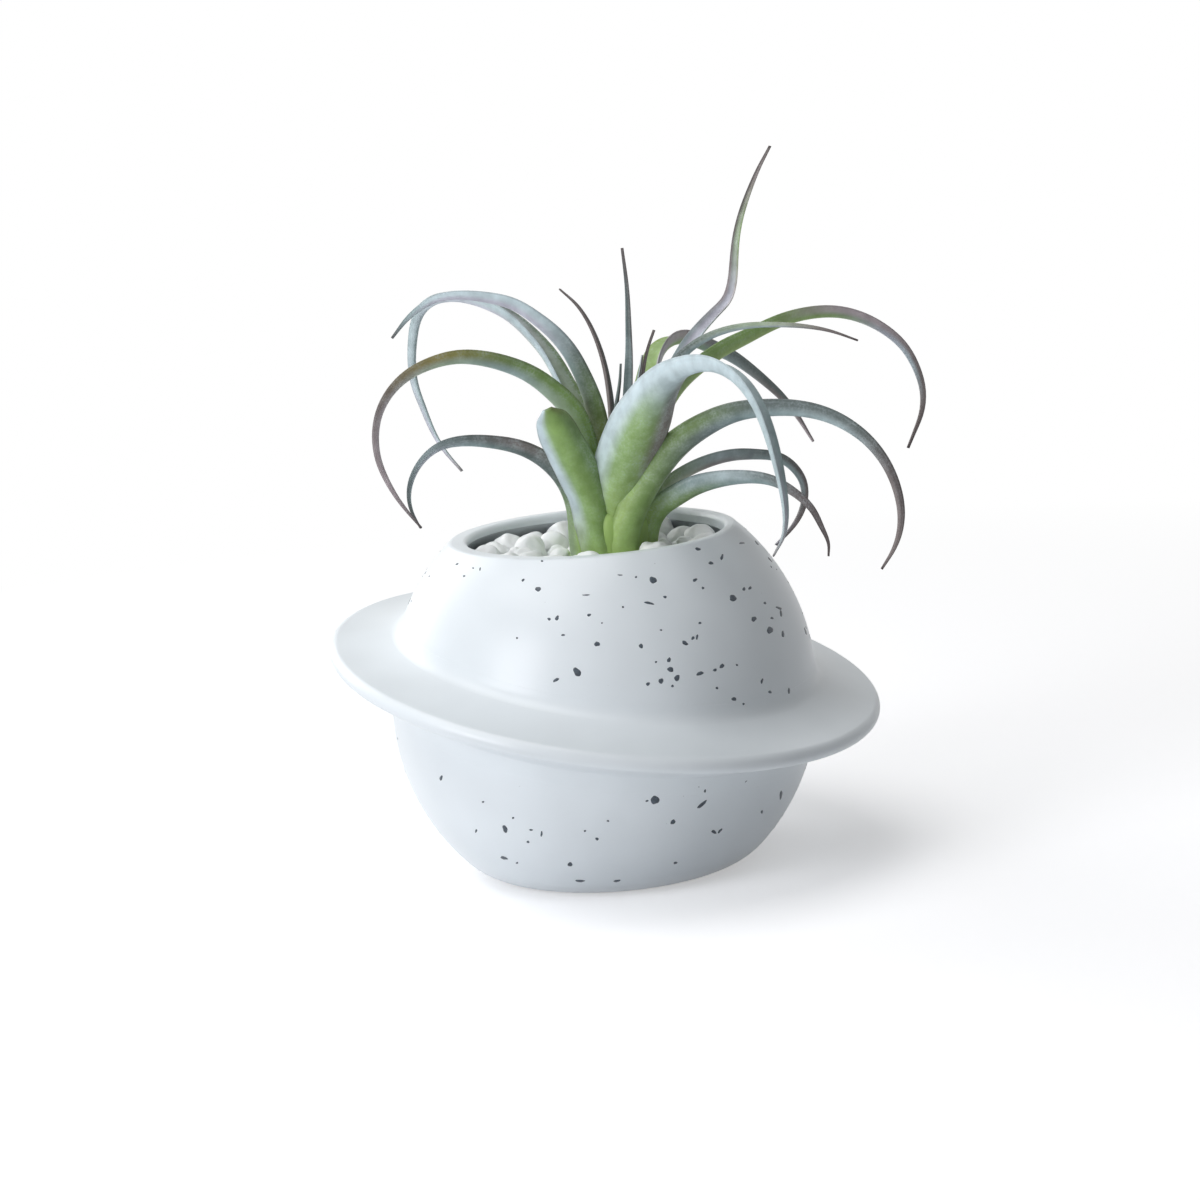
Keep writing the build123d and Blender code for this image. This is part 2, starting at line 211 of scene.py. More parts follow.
view_ahead = Vector((0, cos(view_down_angle), -sin(view_down_angle)))
level_up = Vector((0, sin(view_down_angle), cos(view_down_angle)))
roll = Matrix.Rotation(-view_roll_angle, 3, view_ahead)
view_right = roll @ Vector((1, 0, 0))
view_up = roll @ level_up
rosette_seat = Vector((rosette_offset, 0, outer_seat_height))
view_point = rosette_seat + Vector((view_aim_right, 0, view_aim_above)) - view_ahead * view_distance


def sight_through(pixel):
    """The direction of the line of sight through a pixel."""
    right_share = (pixel[0] - picture_middle_px) / focal_length_px
    up_share = (picture_middle_px - pixel[1]) / focal_length_px
    return view_ahead + view_right * right_share + view_up * up_share


# Colours and nodes

# The sockets of a colour mix, by number, because each of its names stands for several sockets
MIX_SHARE, MIX_UNDER, MIX_OVER = 0, 6, 7


def linear(code):
    """A colour given as an sRGB hex code, as the linear red, green, blue and alpha of a shader."""
    values = [int(code[i : i + 2], 16) / 255 for i in (1, 3, 5)]
    return tuple(v / 12.92 if v <= 0.04045 else ((v + 0.055) / 1.055) ** 2.4 for v in values) + (1.0,)


def add(tree, kind, links=None, out=None, stops=None, **settings):
    """Adds a node with its settings and ramp stops, fills its inputs, and gives the node or one output."""
    node = tree.nodes.new("ShaderNode" + kind)
    for key, value in settings.items():
        setattr(node, key, value)
    if stops:
        elements = node.color_ramp.elements
        while len(elements) < len(stops):
            elements.new(0.5)
        for element, (place, shade) in zip(elements, stops):
            element.position = place
            element.color = linear(shade)
    for key, value in (links or {}).items():
        if isinstance(value, bpy.types.NodeSocket):
            tree.links.new(value, node.inputs[key])
        else:
            node.inputs[key].default_value = value
    return node if out is None else node.outputs[out]


def new_material(name):
    """An empty material and its node tree."""
    material = bpy.data.materials.new(name)
    material.use_nodes = True
    material.node_tree.nodes.clear()
    return material, material.node_tree


# Materials


def satin_glaze(name, has_pinheads):
    """Stoneware under a fired satin glaze: cool white, with soft-edged highlights over a slightly wavy
    skin. The ball's also has pinheads of iron, too fine to place one by one."""
    cloud_width = 30 * MM
    wave_width = 11 * MM
    wave_height = 0.12 * MM
    pore_width = 0.9 * MM
    pore_depth = 0.015 * MM
    material, tree = new_material(name)
    place = add(tree, "TexCoord", out="Object")
    cloud = add(tree, "TexNoise", {"Vector": place, "Scale": 1 / cloud_width}, out="Fac")
    wave = add(tree, "TexNoise", {"Vector": place, "Scale": 1 / wave_width, "Detail": 1.0}, out="Fac")
    pores = add(tree, "TexNoise", {"Vector": place, "Scale": 1 / pore_width}, out="Fac")
    colour = add(tree, "ValToRGB", {"Fac": cloud}, out=0, stops=((0.35, "#dce3e7"), (0.65, "#e3eaee")))
    if has_pinheads:
        colour = iron_pinheads(tree, place, colour)
    waves = add(tree, "Bump", {"Height": wave, "Distance": wave_height, "Strength": 0.4}, out=0)
    pitted = {"Height": pores, "Distance": pore_depth, "Strength": 0.4, "Normal": waves}
    skin = add(tree, "Bump", pitted, out=0)
    satin = {"Value": cloud, "From Min": 0.3, "From Max": 0.7, "To Min": 0.29, "To Max": 0.36}
    rough = add(tree, "MapRange", satin, out=0)
    glaze = {"Base Color": colour, "Roughness": rough, "IOR": 1.52, "Normal": skin}
    shader = add(tree, "BsdfPrincipled", glaze, out=0)
    add(tree, "OutputMaterial", {"Surface": shader})
    return material


def iron_pinheads(tree, place, glaze_colour):
    """The glaze colour with faint pinheads of iron in it, one to a cell, some larger than others."""
    pinhead_spacing = 5.5 * MM
    largest_pinhead_share = 0.035
    pinhead_strength = 0.5
    cells = add(tree, "TexVoronoi", {"Vector": place, "Scale": 1 / pinhead_spacing})
    scaled = {0: cells.outputs["Color"], 1: largest_pinhead_share}
    reach = add(tree, "Math", scaled, out=0, operation="MULTIPLY")
    inside = add(tree, "Math", {0: cells.outputs["Distance"], 1: reach}, out=0, operation="LESS_THAN")
    faint = add(tree, "Math", {0: inside, 1: pinhead_strength}, out=0, operation="MULTIPLY")
    shades = {MIX_SHARE: faint, MIX_UNDER: glaze_colour, MIX_OVER: linear("#5a636c")}
    return add(tree, "Mix", shades, out=2, data_type="RGBA")


def iron_spot():
    """Iron spots that bled into the glaze as it was fired: dark slate, and about as glossy as the glaze."""
    cloud_width = 0.5 * MM
    material, tree = new_material("iron_spot_in_glaze")
    place = add(tree, "TexCoord", out="Object")
    cloud = add(tree, "TexNoise", {"Vector": place, "Scale": 1 / cloud_width, "Detail": 3.0}, out="Fac")
    colour = add(tree, "ValToRGB", {"Fac": cloud}, out=0, stops=((0.3, "#2b343e"), (0.75, "#4c5964")))
    shader = add(tree, "BsdfPrincipled", {"Base Color": colour, "Roughness": 0.36, "IOR": 1.52}, out=0)
    add(tree, "OutputMaterial", {"Surface": shader})
    return material


def tumbled_quartz():
    """Tumbled white quartz: rounded, chalky white with faint clouds, and a dull sheen."""
    cloud_width = 3.5 * MM
    grit_width = 0.7 * MM
    grit_depth = 0.06 * MM
    whites = (0.3, "#eef1f2"), (0.55, "#f5f7f7"), (0.8, "#fafbfb")
    material, tree = new_material("tumbled_white_quartz")
    place = add(tree, "TexCoord", out="Object")
    cloud = add(tree, "TexNoise", {"Vector": place, "Scale": 1 / cloud_width, "Detail": 4.0}, out="Fac")
    grit = add(tree, "TexNoise", {"Vector": place, "Scale": 1 / grit_width, "Detail": 4.0}, out="Fac")
    colour = add(tree, "ValToRGB", {"Fac": cloud}, out=0, stops=whites)
    skin = add(tree, "Bump", {"Height": grit, "Distance": grit_depth, "Strength": 0.5}, out=0)
    stone = {"Base Color": colour, "Roughness": 0.48, "IOR": 1.54, "Normal": skin}
    shader = add(tree, "BsdfPrincipled", stone, out=0)
    add(tree, "OutputMaterial", {"Surface": shader})
    return material


def floral_foam():
    """Cut floral foam: dark green open cells, so it is matt and crumbly."""
    cell_width = 0.8 * MM
    cell_depth = 0.4 * MM
    material, tree = new_material("cut_floral_foam")
    place = add(tree, "TexCoord", out="Object")
    cells = add(tree, "TexNoise", {"Vector": place, "Scale": 1 / cell_width, "Detail": 4.0}, out="Fac")
    colour = add(tree, "ValToRGB", {"Fac": cells}, out=0, stops=((0.3, "#2c3527"), (0.7, "#4b5841")))
    skin = add(tree, "Bump", {"Height": cells, "Distance": cell_depth, "Strength": 0.9}, out=0)
    foam = {"Base Color": colour, "Roughness": 0.95, "IOR": 1.45, "Normal": skin}
    shader = add(tree, "BsdfPrincipled", foam, out=0)
    add(tree, "OutputMaterial", {"Surface": shader})
    return material


def green_polyethylene():
    """Injection-moulded polyethylene: leaf green, with a waxy low sheen and faint upright flow streaks."""
    streak_width = 1.4 * MM
    streak_depth = 0.12 * MM
    upright_share = 0.15
    greens = (0.25, "#8bab5a"), (0.6, "#9ab965"), (0.85, "#a6c474")
    material, tree = new_material("moulded_green_polyethylene")
    place = add(tree, "TexCoord", out="Object")
    drawn = add(tree, "Mapping", {"Vector": place, "Scale": (1, 1, upright_share)}, out=0)
    flow = add(tree, "TexNoise", {"Vector": drawn, "Scale": 1 / streak_width, "Detail": 3.0}, out="Fac")
    colour = add(tree, "ValToRGB", {"Fac": flow}, out=0, stops=greens)
    skin = add(tree, "Bump", {"Height": flow, "Distance": streak_depth, "Strength": 0.4}, out=0)
    plastic = {"Base Color": colour, "Roughness": 0.45, "IOR": 1.51, "Normal": skin}
    shader = add(tree, "BsdfPrincipled", plastic, out=0)
    add(tree, "OutputMaterial", {"Surface": shader})
    return material


def frosted_leaf():
    """Moulded polyethylene leaf, sprayed from green to frost and brown and then dusted with a chalky
    powder: its colour is mottled, and its surface is dry and matt, with fine lines along it. The colour
    that it reads from each point also carries painted shade, on the upper face, the rims and some edges."""
    mottle_width = 3.5 * MM
    grain_width = 0.5 * MM
    grain_depth = 0.03 * MM
    line_depth = 0.08 * MM
    material, tree = new_material("frosted_polyethylene_leaf")
    place = add(tree, "TexCoord", out="Object")
    # The sprayed colours of the leaf's points, with painted shade on the upper face, the rims and one edge
    spray_and_painted_shade = add(tree, "Attribute", out="Color", attribute_name="spray_and_painted_shade")
    dust = add(tree, "Attribute", out="Fac", attribute_name="dust")
    veins = add(tree, "Attribute", out="Fac", attribute_name="veins")
    mottle = add(tree, "TexNoise", {"Vector": place, "Scale": 1 / mottle_width, "Detail": 4.0}, out="Fac")
    grain = add(tree, "TexNoise", {"Vector": place, "Scale": 1 / grain_width, "Detail": 3.0}, out="Fac")

    uneven = {"Value": mottle, "From Min": 0.35, "From Max": 0.7, "To Min": 0.82, "To Max": 1.1}
    shade = add(tree, "MapRange", uneven, out=0)
    body = add(tree, "VectorMath", {0: spray_and_painted_shade, "Scale": shade}, out=0, operation="SCALE")

    grained = {"Value": grain, "From Min": 0.42, "From Max": 0.66, "To Min": 0.1, "To Max": 0.85}
    grains = add(tree, "MapRange", grained, out=0)
    clouded = {"Value": mottle, "From Min": 0.35, "From Max": 0.65, "To Min": 0.2, "To Max": 1.0}
    clouds = add(tree, "MapRange", clouded, out=0)
    lined = {"Value": veins, "From Min": 0.55, "From Max": 0.95, "To Min": 0.0, "To Max": 0.45}
    streaks = add(tree, "MapRange", lined, out=0)
    film = add(tree, "Math", {0: grains, 1: clouds}, out=0, operation="MULTIPLY")
    powder = add(tree, "Math", {0: streaks, 1: clouds, 2: film}, out=0, operation="MULTIPLY_ADD")
    cover = add(tree, "Math", {0: powder, 1: dust}, out=0, operation="MULTIPLY")
    powdered = {MIX_SHARE: cover, MIX_UNDER: body, MIX_OVER: linear("#ccd7da")}
    colour = add(tree, "Mix", powdered, out=2, data_type="RGBA")

    lines = add(tree, "Bump", {"Height": veins, "Distance": line_depth, "Strength": 0.5}, out=0)
    grainy = {"Height": grain, "Distance": grain_depth, "Strength": 0.4, "Normal": lines}
    skin = add(tree, "Bump", grainy, out=0)
    duller = {"Value": cover, "From Min": 0.0, "From Max": 0.6, "To Min": 0.5, "To Max": 0.75}
    rough = add(tree, "MapRange", duller, out=0)
    leaf = {"Base Color": colour, "Roughness": rough, "IOR": 1.51, "Normal": skin}
    shader = add(tree, "BsdfPrincipled", leaf, out=0)
    add(tree, "OutputMaterial", {"Surface": shader})
    return material


# Pieces


def piece(name, points, faces, material, body, stands_for=()):
    """A smooth mesh piece that rides on a body, with its material."""
    mesh = bpy.data.meshes.new(name)
    mesh.from_pydata([tuple(p) for p in points], [], faces)
    mesh.update()
    mesh.polygons.foreach_set("use_smooth", [True] * len(mesh.polygons))
    mesh.materials.append(material)
    thing = bpy.data.objects.new(name, mesh)
    bpy.context.scene.collection.objects.link(thing)
    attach(thing, body)
    if stands_for:
        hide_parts(*stands_for)
    return thing


def tube_faces(rings, size, closed=False):
    """The faces that join rings of points one after another, and where closed the last to the first."""
    faces = []
    for ring in range(rings if closed else rings - 1):
        low, high = ring * size, (ring + 1) % rings * size
        for i in range(size):
            j = (i + 1) % size
            faces.append((low + j, low + i, high + i, high + j))
    return faces


def outward(angle):
    """Level direction at an angle in degrees about +Z from +X."""
    return Vector((cos(radians(angle)), sin(radians(angle)), 0))


def dress(node, material):
    """Gives a node of the frame its material."""
    slots = nodes[node].data.materials
    slots.clear()
    slots.append(material)


# The ball's outside


def on_ball(start, way):
    """Where a line first meets the ball's outside, or None. The lower half ball stands for the belt too."""
    for centre in (upper_centre, lower_centre):
        away = start - Vector((0, 0, centre))
        a, b, c = way.dot(way), away.dot(way), away.dot(away) - ball_radius**2
        if b * b - a * c < 0:
            continue
        spot = start + way * ((-b - sqrt(b * b - a * c)) / a)
        above_belt = spot.z > upper_centre
        if above_belt == (centre == upper_centre):
            return spot
    return None


def straight_off(spot):
    """The direction that points straight out of the ball at a point of its outside."""
    centre = min(max(spot.z, lower_centre), upper_centre)
    return (spot - Vector((0, 0, centre))).normalized()


def nearest_on_ball(spot):
    """The nearest point of the ball's outside."""
    centre = min(max(spot.z, lower_centre), upper_centre)
    return Vector((0, 0, centre)) + straight_off(spot) * ball_radius


# Iron spots, as traced: where each is, how long and how wide it is in pixels, and its slant

traced_spots_px = (
    (457, 564, 3.5, 2, 20), (464, 576, 2.5, 2, 0), (473, 568, 2, 1.5, 0), (480, 569, 4, 1.3, 80),
    (542, 561, 2.5, 2, 0), (523, 580, 3.5, 2.5, 60), (538, 589, 6.5, 4.5, -10), (549, 619, 3.5, 3, 0),
    (557, 618, 5, 4, 70), (589, 615, 4, 3, 0), (586, 595, 8, 1.5, 0), (602, 623, 2, 1.5, 0),
    (563, 635, 4, 2, 10), (517, 638, 2.5, 2, 0), (597, 644, 5.5, 5, 0), (577, 672, 9.5, 7, -60),
    (556, 680, 7, 3, 35), (505, 689, 4, 3, 90), (620, 575, 5.5, 1.3, 0), (636, 577, 2.5, 2, 0),
    (653, 580, 7.5, 7, 0), (623, 607, 2.5, 2, 0), (649, 603, 10, 2.6, -10), (665, 597, 3.5, 3, 0),
    (661, 630, 2.5, 2, 0), (641, 646, 5, 4, 80), (695, 580, 4.5, 3.5, 30), (703, 588, 3, 2.5, 0),
    (698, 549, 5.5, 3.5, -10), (711, 563, 5.5, 3, -15), (722, 557, 6, 3, 75), (742, 543, 5.5, 1.8, 0),
    (757, 543, 6, 1.8, -45), (744, 589, 4, 3, 60), (750, 588, 4, 3, 60), (733, 598, 7.5, 6.5, 0),
    (765, 603, 3, 2.5, 0), (779, 608, 6, 2.5, -20), (781, 613, 7, 2.5, -80), (754, 619, 5.5, 5, 0),
    (772, 618, 3, 2.5, 0), (770, 630, 7, 6.5, 0), (783, 634, 7, 2.8, 90), (700, 623, 3.5, 2.2, 0),
    (693, 638, 4, 3, 40), (697, 637, 5, 2.5, 80), (685, 643, 6.5, 4, -25), (669, 660, 5, 4, 80),
    (670.5, 669.5, 6.5, 5, -40), (677, 678, 7, 5, 80), (661, 681, 5.5, 5, 0), (648, 684, 4, 3.5, 60),
    (672.5, 686, 3, 2.5, 0), (656, 662, 2.5, 2, 0), (700, 673.5, 7, 4, 15), (715, 670, 4, 3, 0),
    (722, 666, 6, 3.5, 40), (737, 665, 2.5, 2, 0), (717, 688, 3, 2.5, 0), (734, 699, 5.5, 3.5, 0),
    (743.5, 704, 3, 2.5, 0), (762, 681, 6, 2.2, 70), (770, 692, 3.5, 3, 0), (789, 692, 9, 2.6, 88),
    (798, 692, 9, 3, 85), (441, 778, 6, 2.6, 75), (605, 782, 2.5, 2, 0), (483, 802, 2.5, 2, 0),
    (505, 829, 7.5, 5, -70), (513, 818, 2.5, 2, 0), (476, 831, 4, 2, 80), (531, 830, 4, 1.8, 0),
    (541.5, 834, 5.5, 2.2, 85), (528, 842, 3, 2.5, 0), (504, 858, 8, 3, -20), (517, 863, 2.5, 2, 0),
    (570, 864.5, 5.5, 4, 0), (580, 881, 9, 2.8, 0), (617, 881, 6.5, 2.6, 10), (585, 831, 2.5, 2, 0),
    (597, 839, 3.5, 3, 0), (608, 821, 2.5, 2, 0), (655, 800, 9.5, 8, -50), (647, 801, 3.5, 1.8, 20),
    (699, 785, 5.5, 4, 70), (705, 791, 3.5, 2.5, 80), (702, 804.5, 13, 3.2, 38), (673, 822, 6, 4, 30),
    (714, 832, 6, 3, -35), (720, 831, 6, 2.5, 50), (675.5, 863, 4.5, 2.2, 10), (747.5, 779, 9.5, 2, 55),
    (781, 795, 10, 2.4, 80), (762, 812, 4, 2.2, 80),
)


def uneven_oval(draw, length, width):
    """The corners of a spot, as how far along it and across it each is from its middle."""
    turns = [draw.uniform(0, 2 * pi) for _ in spot_lobes]
    corners = []
    for i in range(spot_corners):
        angle = 2 * pi * i / spot_corners
        reach = 1
        for count, share, turn in zip(spot_lobes, spot_lobe_shares, turns):
            reach += share * sin(count * angle + turn)
        corners.append((length / 2 * cos(angle) * reach, width / 2 * sin(angle) * reach))
    return corners


def traced_outline(draw, x, y, length, width, slant):
    """The outline on the ball of a spot that the picture shows, with None for a corner that misses it."""
    c, s = cos(radians(slant)), sin(radians(slant))
    corners = [(x + a * c + b * s, y - a * s + b * c) for a, b in uneven_oval(draw, length, width)]
    return [on_ball(view_point, sight_through(corner)) for corner in corners]


def hidden_outline(draw):
    """The outline of a spot drawn by chance on the hidden side, or None where no spot goes: on the ring's
    seat, and near the foot and the rim."""
    height = draw.uniform(*hidden_spot_height_shares) * rim_height
    turn = draw.uniform(*hidden_spot_turns)
    length = draw.choice(hidden_spot_lengths_mm) * MM
    width = length * draw.uniform(*hidden_spot_width_shares)
    slant = draw.uniform(0, pi)
    centre = min(max(height, lower_centre), upper_centre)
    across = sqrt(max(0, ball_radius**2 - (height - centre) ** 2))
    middle = outward(turn) * across + UP * height
    over_ring = ring_axis.dot(middle - Vector((0, 0, upper_centre))) - ring_rise
    on_ring = -ring_root_below - bare_beside_ring < over_ring < ring_root_above + bare_beside_ring
    by_foot = height < rim_height / 2 and across < foot_radius + bare_beside_foot
    by_rim = height > rim_height / 2 and across < rim_radius + bare_beside_rim
    if on_ring or by_foot or by_rim:
        return None
    out = straight_off(middle)
    side = out.cross(UP).normalized()
    along = side * cos(slant) + out.cross(side) * sin(slant)
    aside = along.cross(out)
    return [nearest_on_ball(middle + along * a + aside * b) for a, b in uneven_oval(draw, length, width)]


def blob(points, faces, outline):
    """Adds a closed blob over an outline on the ball: a low dome outside and a root in the glaze."""
    first = len(points)
    size = len(outline)
    crown, root = first + 2 * size, first + 2 * size + 1
    middle = sum(outline, Vector()) / size
    out = straight_off(middle)
    points += [p - straight_off(p) * spot_proud * spot_edge_sunk_share for p in outline]
    points += [middle.lerp(p, spot_shoulder_share) + straight_off(p) * spot_proud for p in outline]
    points += [middle + out * spot_proud * spot_crown_share, middle - out * spot_depth]
    faces += [tuple(first + i for i in face) for face in tube_faces(2, size)]
    for i in range(size):
        j = (i + 1) % size
        faces.append((first + size + j, first + size + i, crown))
        faces.append((first + i, first + j, root))


def iron_spots(material):
    """The spots that the picture shows, where it shows them, and others like them on the hidden side."""
    draw = random.Random(spot_seed)
    points, faces = [], []
    for traced in traced_spots_px:
        outline = traced_outline(draw, *traced)
        if all(outline):
            blob(points, faces, outline)
    made = 0
    while made < hidden_spots:
        outline = hidden_outline(draw)
        if outline:
            blob(points, faces, outline)
            made += 1
    return piece("iron_spots", points, faces, material, "pot")


# Pooled glaze between the ball and the ring


def along_sag(start, end, sag, reach):
    """A point of the ring's outline arc from start to end, and the way on from it. The arc sags to the
    right of that way, or to its left where the sag is negative."""
    chord = Vector((end[0] - start[0], end[1] - start[1]))
    depth = abs(sag)
    radius = ((chord.length / 2) ** 2 + depth**2) / (2 * depth)
    half_turn = atan2(chord.length / 2, radius - depth)
    ahead = chord.normalized()
    aside = Vector((ahead.y, -ahead.x)) * (sag / depth)
    centre = Vector(start) + chord / 2 - aside * (radius - depth)
    turn = reach / radius - half_turn
    spot = centre + aside * (radius * cos(turn)) + ahead * (radius * sin(turn))
    return spot, ahead * cos(turn) - aside * sin(turn)


def glaze_fillet(name, root_height, edge, sag, material):
    """The glaze that pooled in the corner between the ball and the ring, all the way round. Its skin
    leaves both faces smoothly, and its feathered ends and its root are sunk in them."""
    seat = sqrt(ball_radius**2 - (ring_rise + ring_root_above) ** 2) - ring_seat_depth
    root = (seat, root_height)
    end, end_way = along_sag(root, edge, sag, glaze_pool)
    past, past_way = along_sag(root, edge, sag, glaze_pool + glaze_feather)
    side_up = 1 if root_height > 0 else -1
    off = Vector((past_way.y, -past_way.x)) * -side_up
    side = Vector((1, 0, 0)).cross(ring_axis).normalized()
    ahead = side.cross(ring_axis)
    points = []
    for i in range(glaze_turns):
        angle = 2 * pi * i / glaze_turns
        out = ahead * cos(angle) + side * sin(angle)
        corner = nearest_on_ball(ring_middle + out * seat + ring_axis * root_height)
        high = nearest_on_ball(corner + ring_axis * (glaze_pool * side_up))
        higher = nearest_on_ball(corner + ring_axis * ((glaze_pool + glaze_feather) * side_up))
        low = ring_middle + out * end.x + ring_axis * end.y
        lower = ring_middle + out * past.x + ring_axis * past.y
        off_ball = straight_off(high)
        off_ring = out * off.x + ring_axis * off.y
        onward = out * end_way.x + ring_axis * end_way.y
        pull = low - onward * ((low - high).dot(off_ball) / onward.dot(off_ball))
        row = [higher - straight_off(higher) * depth for depth in (glaze_bite, glaze_sink)]
        for step in range(glaze_steps + 1):
            t = step / glaze_steps
            row.append(high * (1 - t) ** 2 + pull * (2 * t * (1 - t)) + low * t**2)
        row += [lower - off_ring * depth for depth in (glaze_sink, glaze_bite)]
        row.append(corner - straight_off(corner) * 2 * glaze_bite)
        points += row
    faces = tube_faces(glaze_turns, len(row), closed=True)
    if root_height > 0:
        faces = [tuple(reversed(face)) for face in faces]
    return piece(name, points, faces, material, "pot")


# Leaves: a row of paint names the finishes at a share of the length, on the one edge, along the middle
# and on the other edge, or one finish for all three. The traced pixels follow the midrib. On the front
# broad leaf, the taupe and slate of the one edge are painted shade, on the side turned from the light.

finishes = {
    "bright": "#a0bf6b",
    "green": "#8cb05e",
    "moss": "#73904f",
    "olive": "#5f6d36",
    "ochre": "#9a9048",
    "sage": "#adc1a0",
    "teal": "#8fa6a7",
    "slate": "#606d6b",
    "frost": "#c8dae0",
    "mist": "#b3c5c8",
    "lavender": "#c5c5d3",
    "rose": "#ccbfc3",
    "taupe": "#857b79",
    "brown": "#4c4241",
}

tiers = {
    "outer": (outer_seat_radius, outer_seat_height, outer_seat_width),
    "middle": (middle_seat_radius, outer_seat_height + crown_step_height, middle_seat_width),
    "inner": (inner_seat_radius, outer_seat_height + 2 * crown_step_height, inner_seat_width),
}

# Along a leaf, as shares: of its length, of its full width, and its channel's depth of that width

slender_shares = (
    (0.08, 0.95, 0.20),
    (0.18, 1.0, 0.28),
    (0.30, 0.92, 0.28),
    (0.44, 0.74, 0.24),
    (0.58, 0.58, 0.20),
    (0.72, 0.43, 0.15),
    (0.86, 0.28, 0.10),
)
broad_shares = (
    (0.08, 0.68, 0.18),
    (0.18, 1.0, 0.30),
    (0.29, 0.95, 0.30),
    (0.38, 0.66, 0.22),
    (0.48, 0.42, 0.15),
    (0.62, 0.31, 0.11),
    (0.80, 0.22, 0.08),
)
blunt_shares = (
    (0.12, 0.80, 0.16),
    (0.30, 0.92, 0.22),
    (0.50, 1.0, 0.25),
    (0.70, 1.0, 0.25),
    (0.86, 0.92, 0.22),
    (0.94, 0.74, 0.14),
    (0.98, 0.48, 0.06),
)

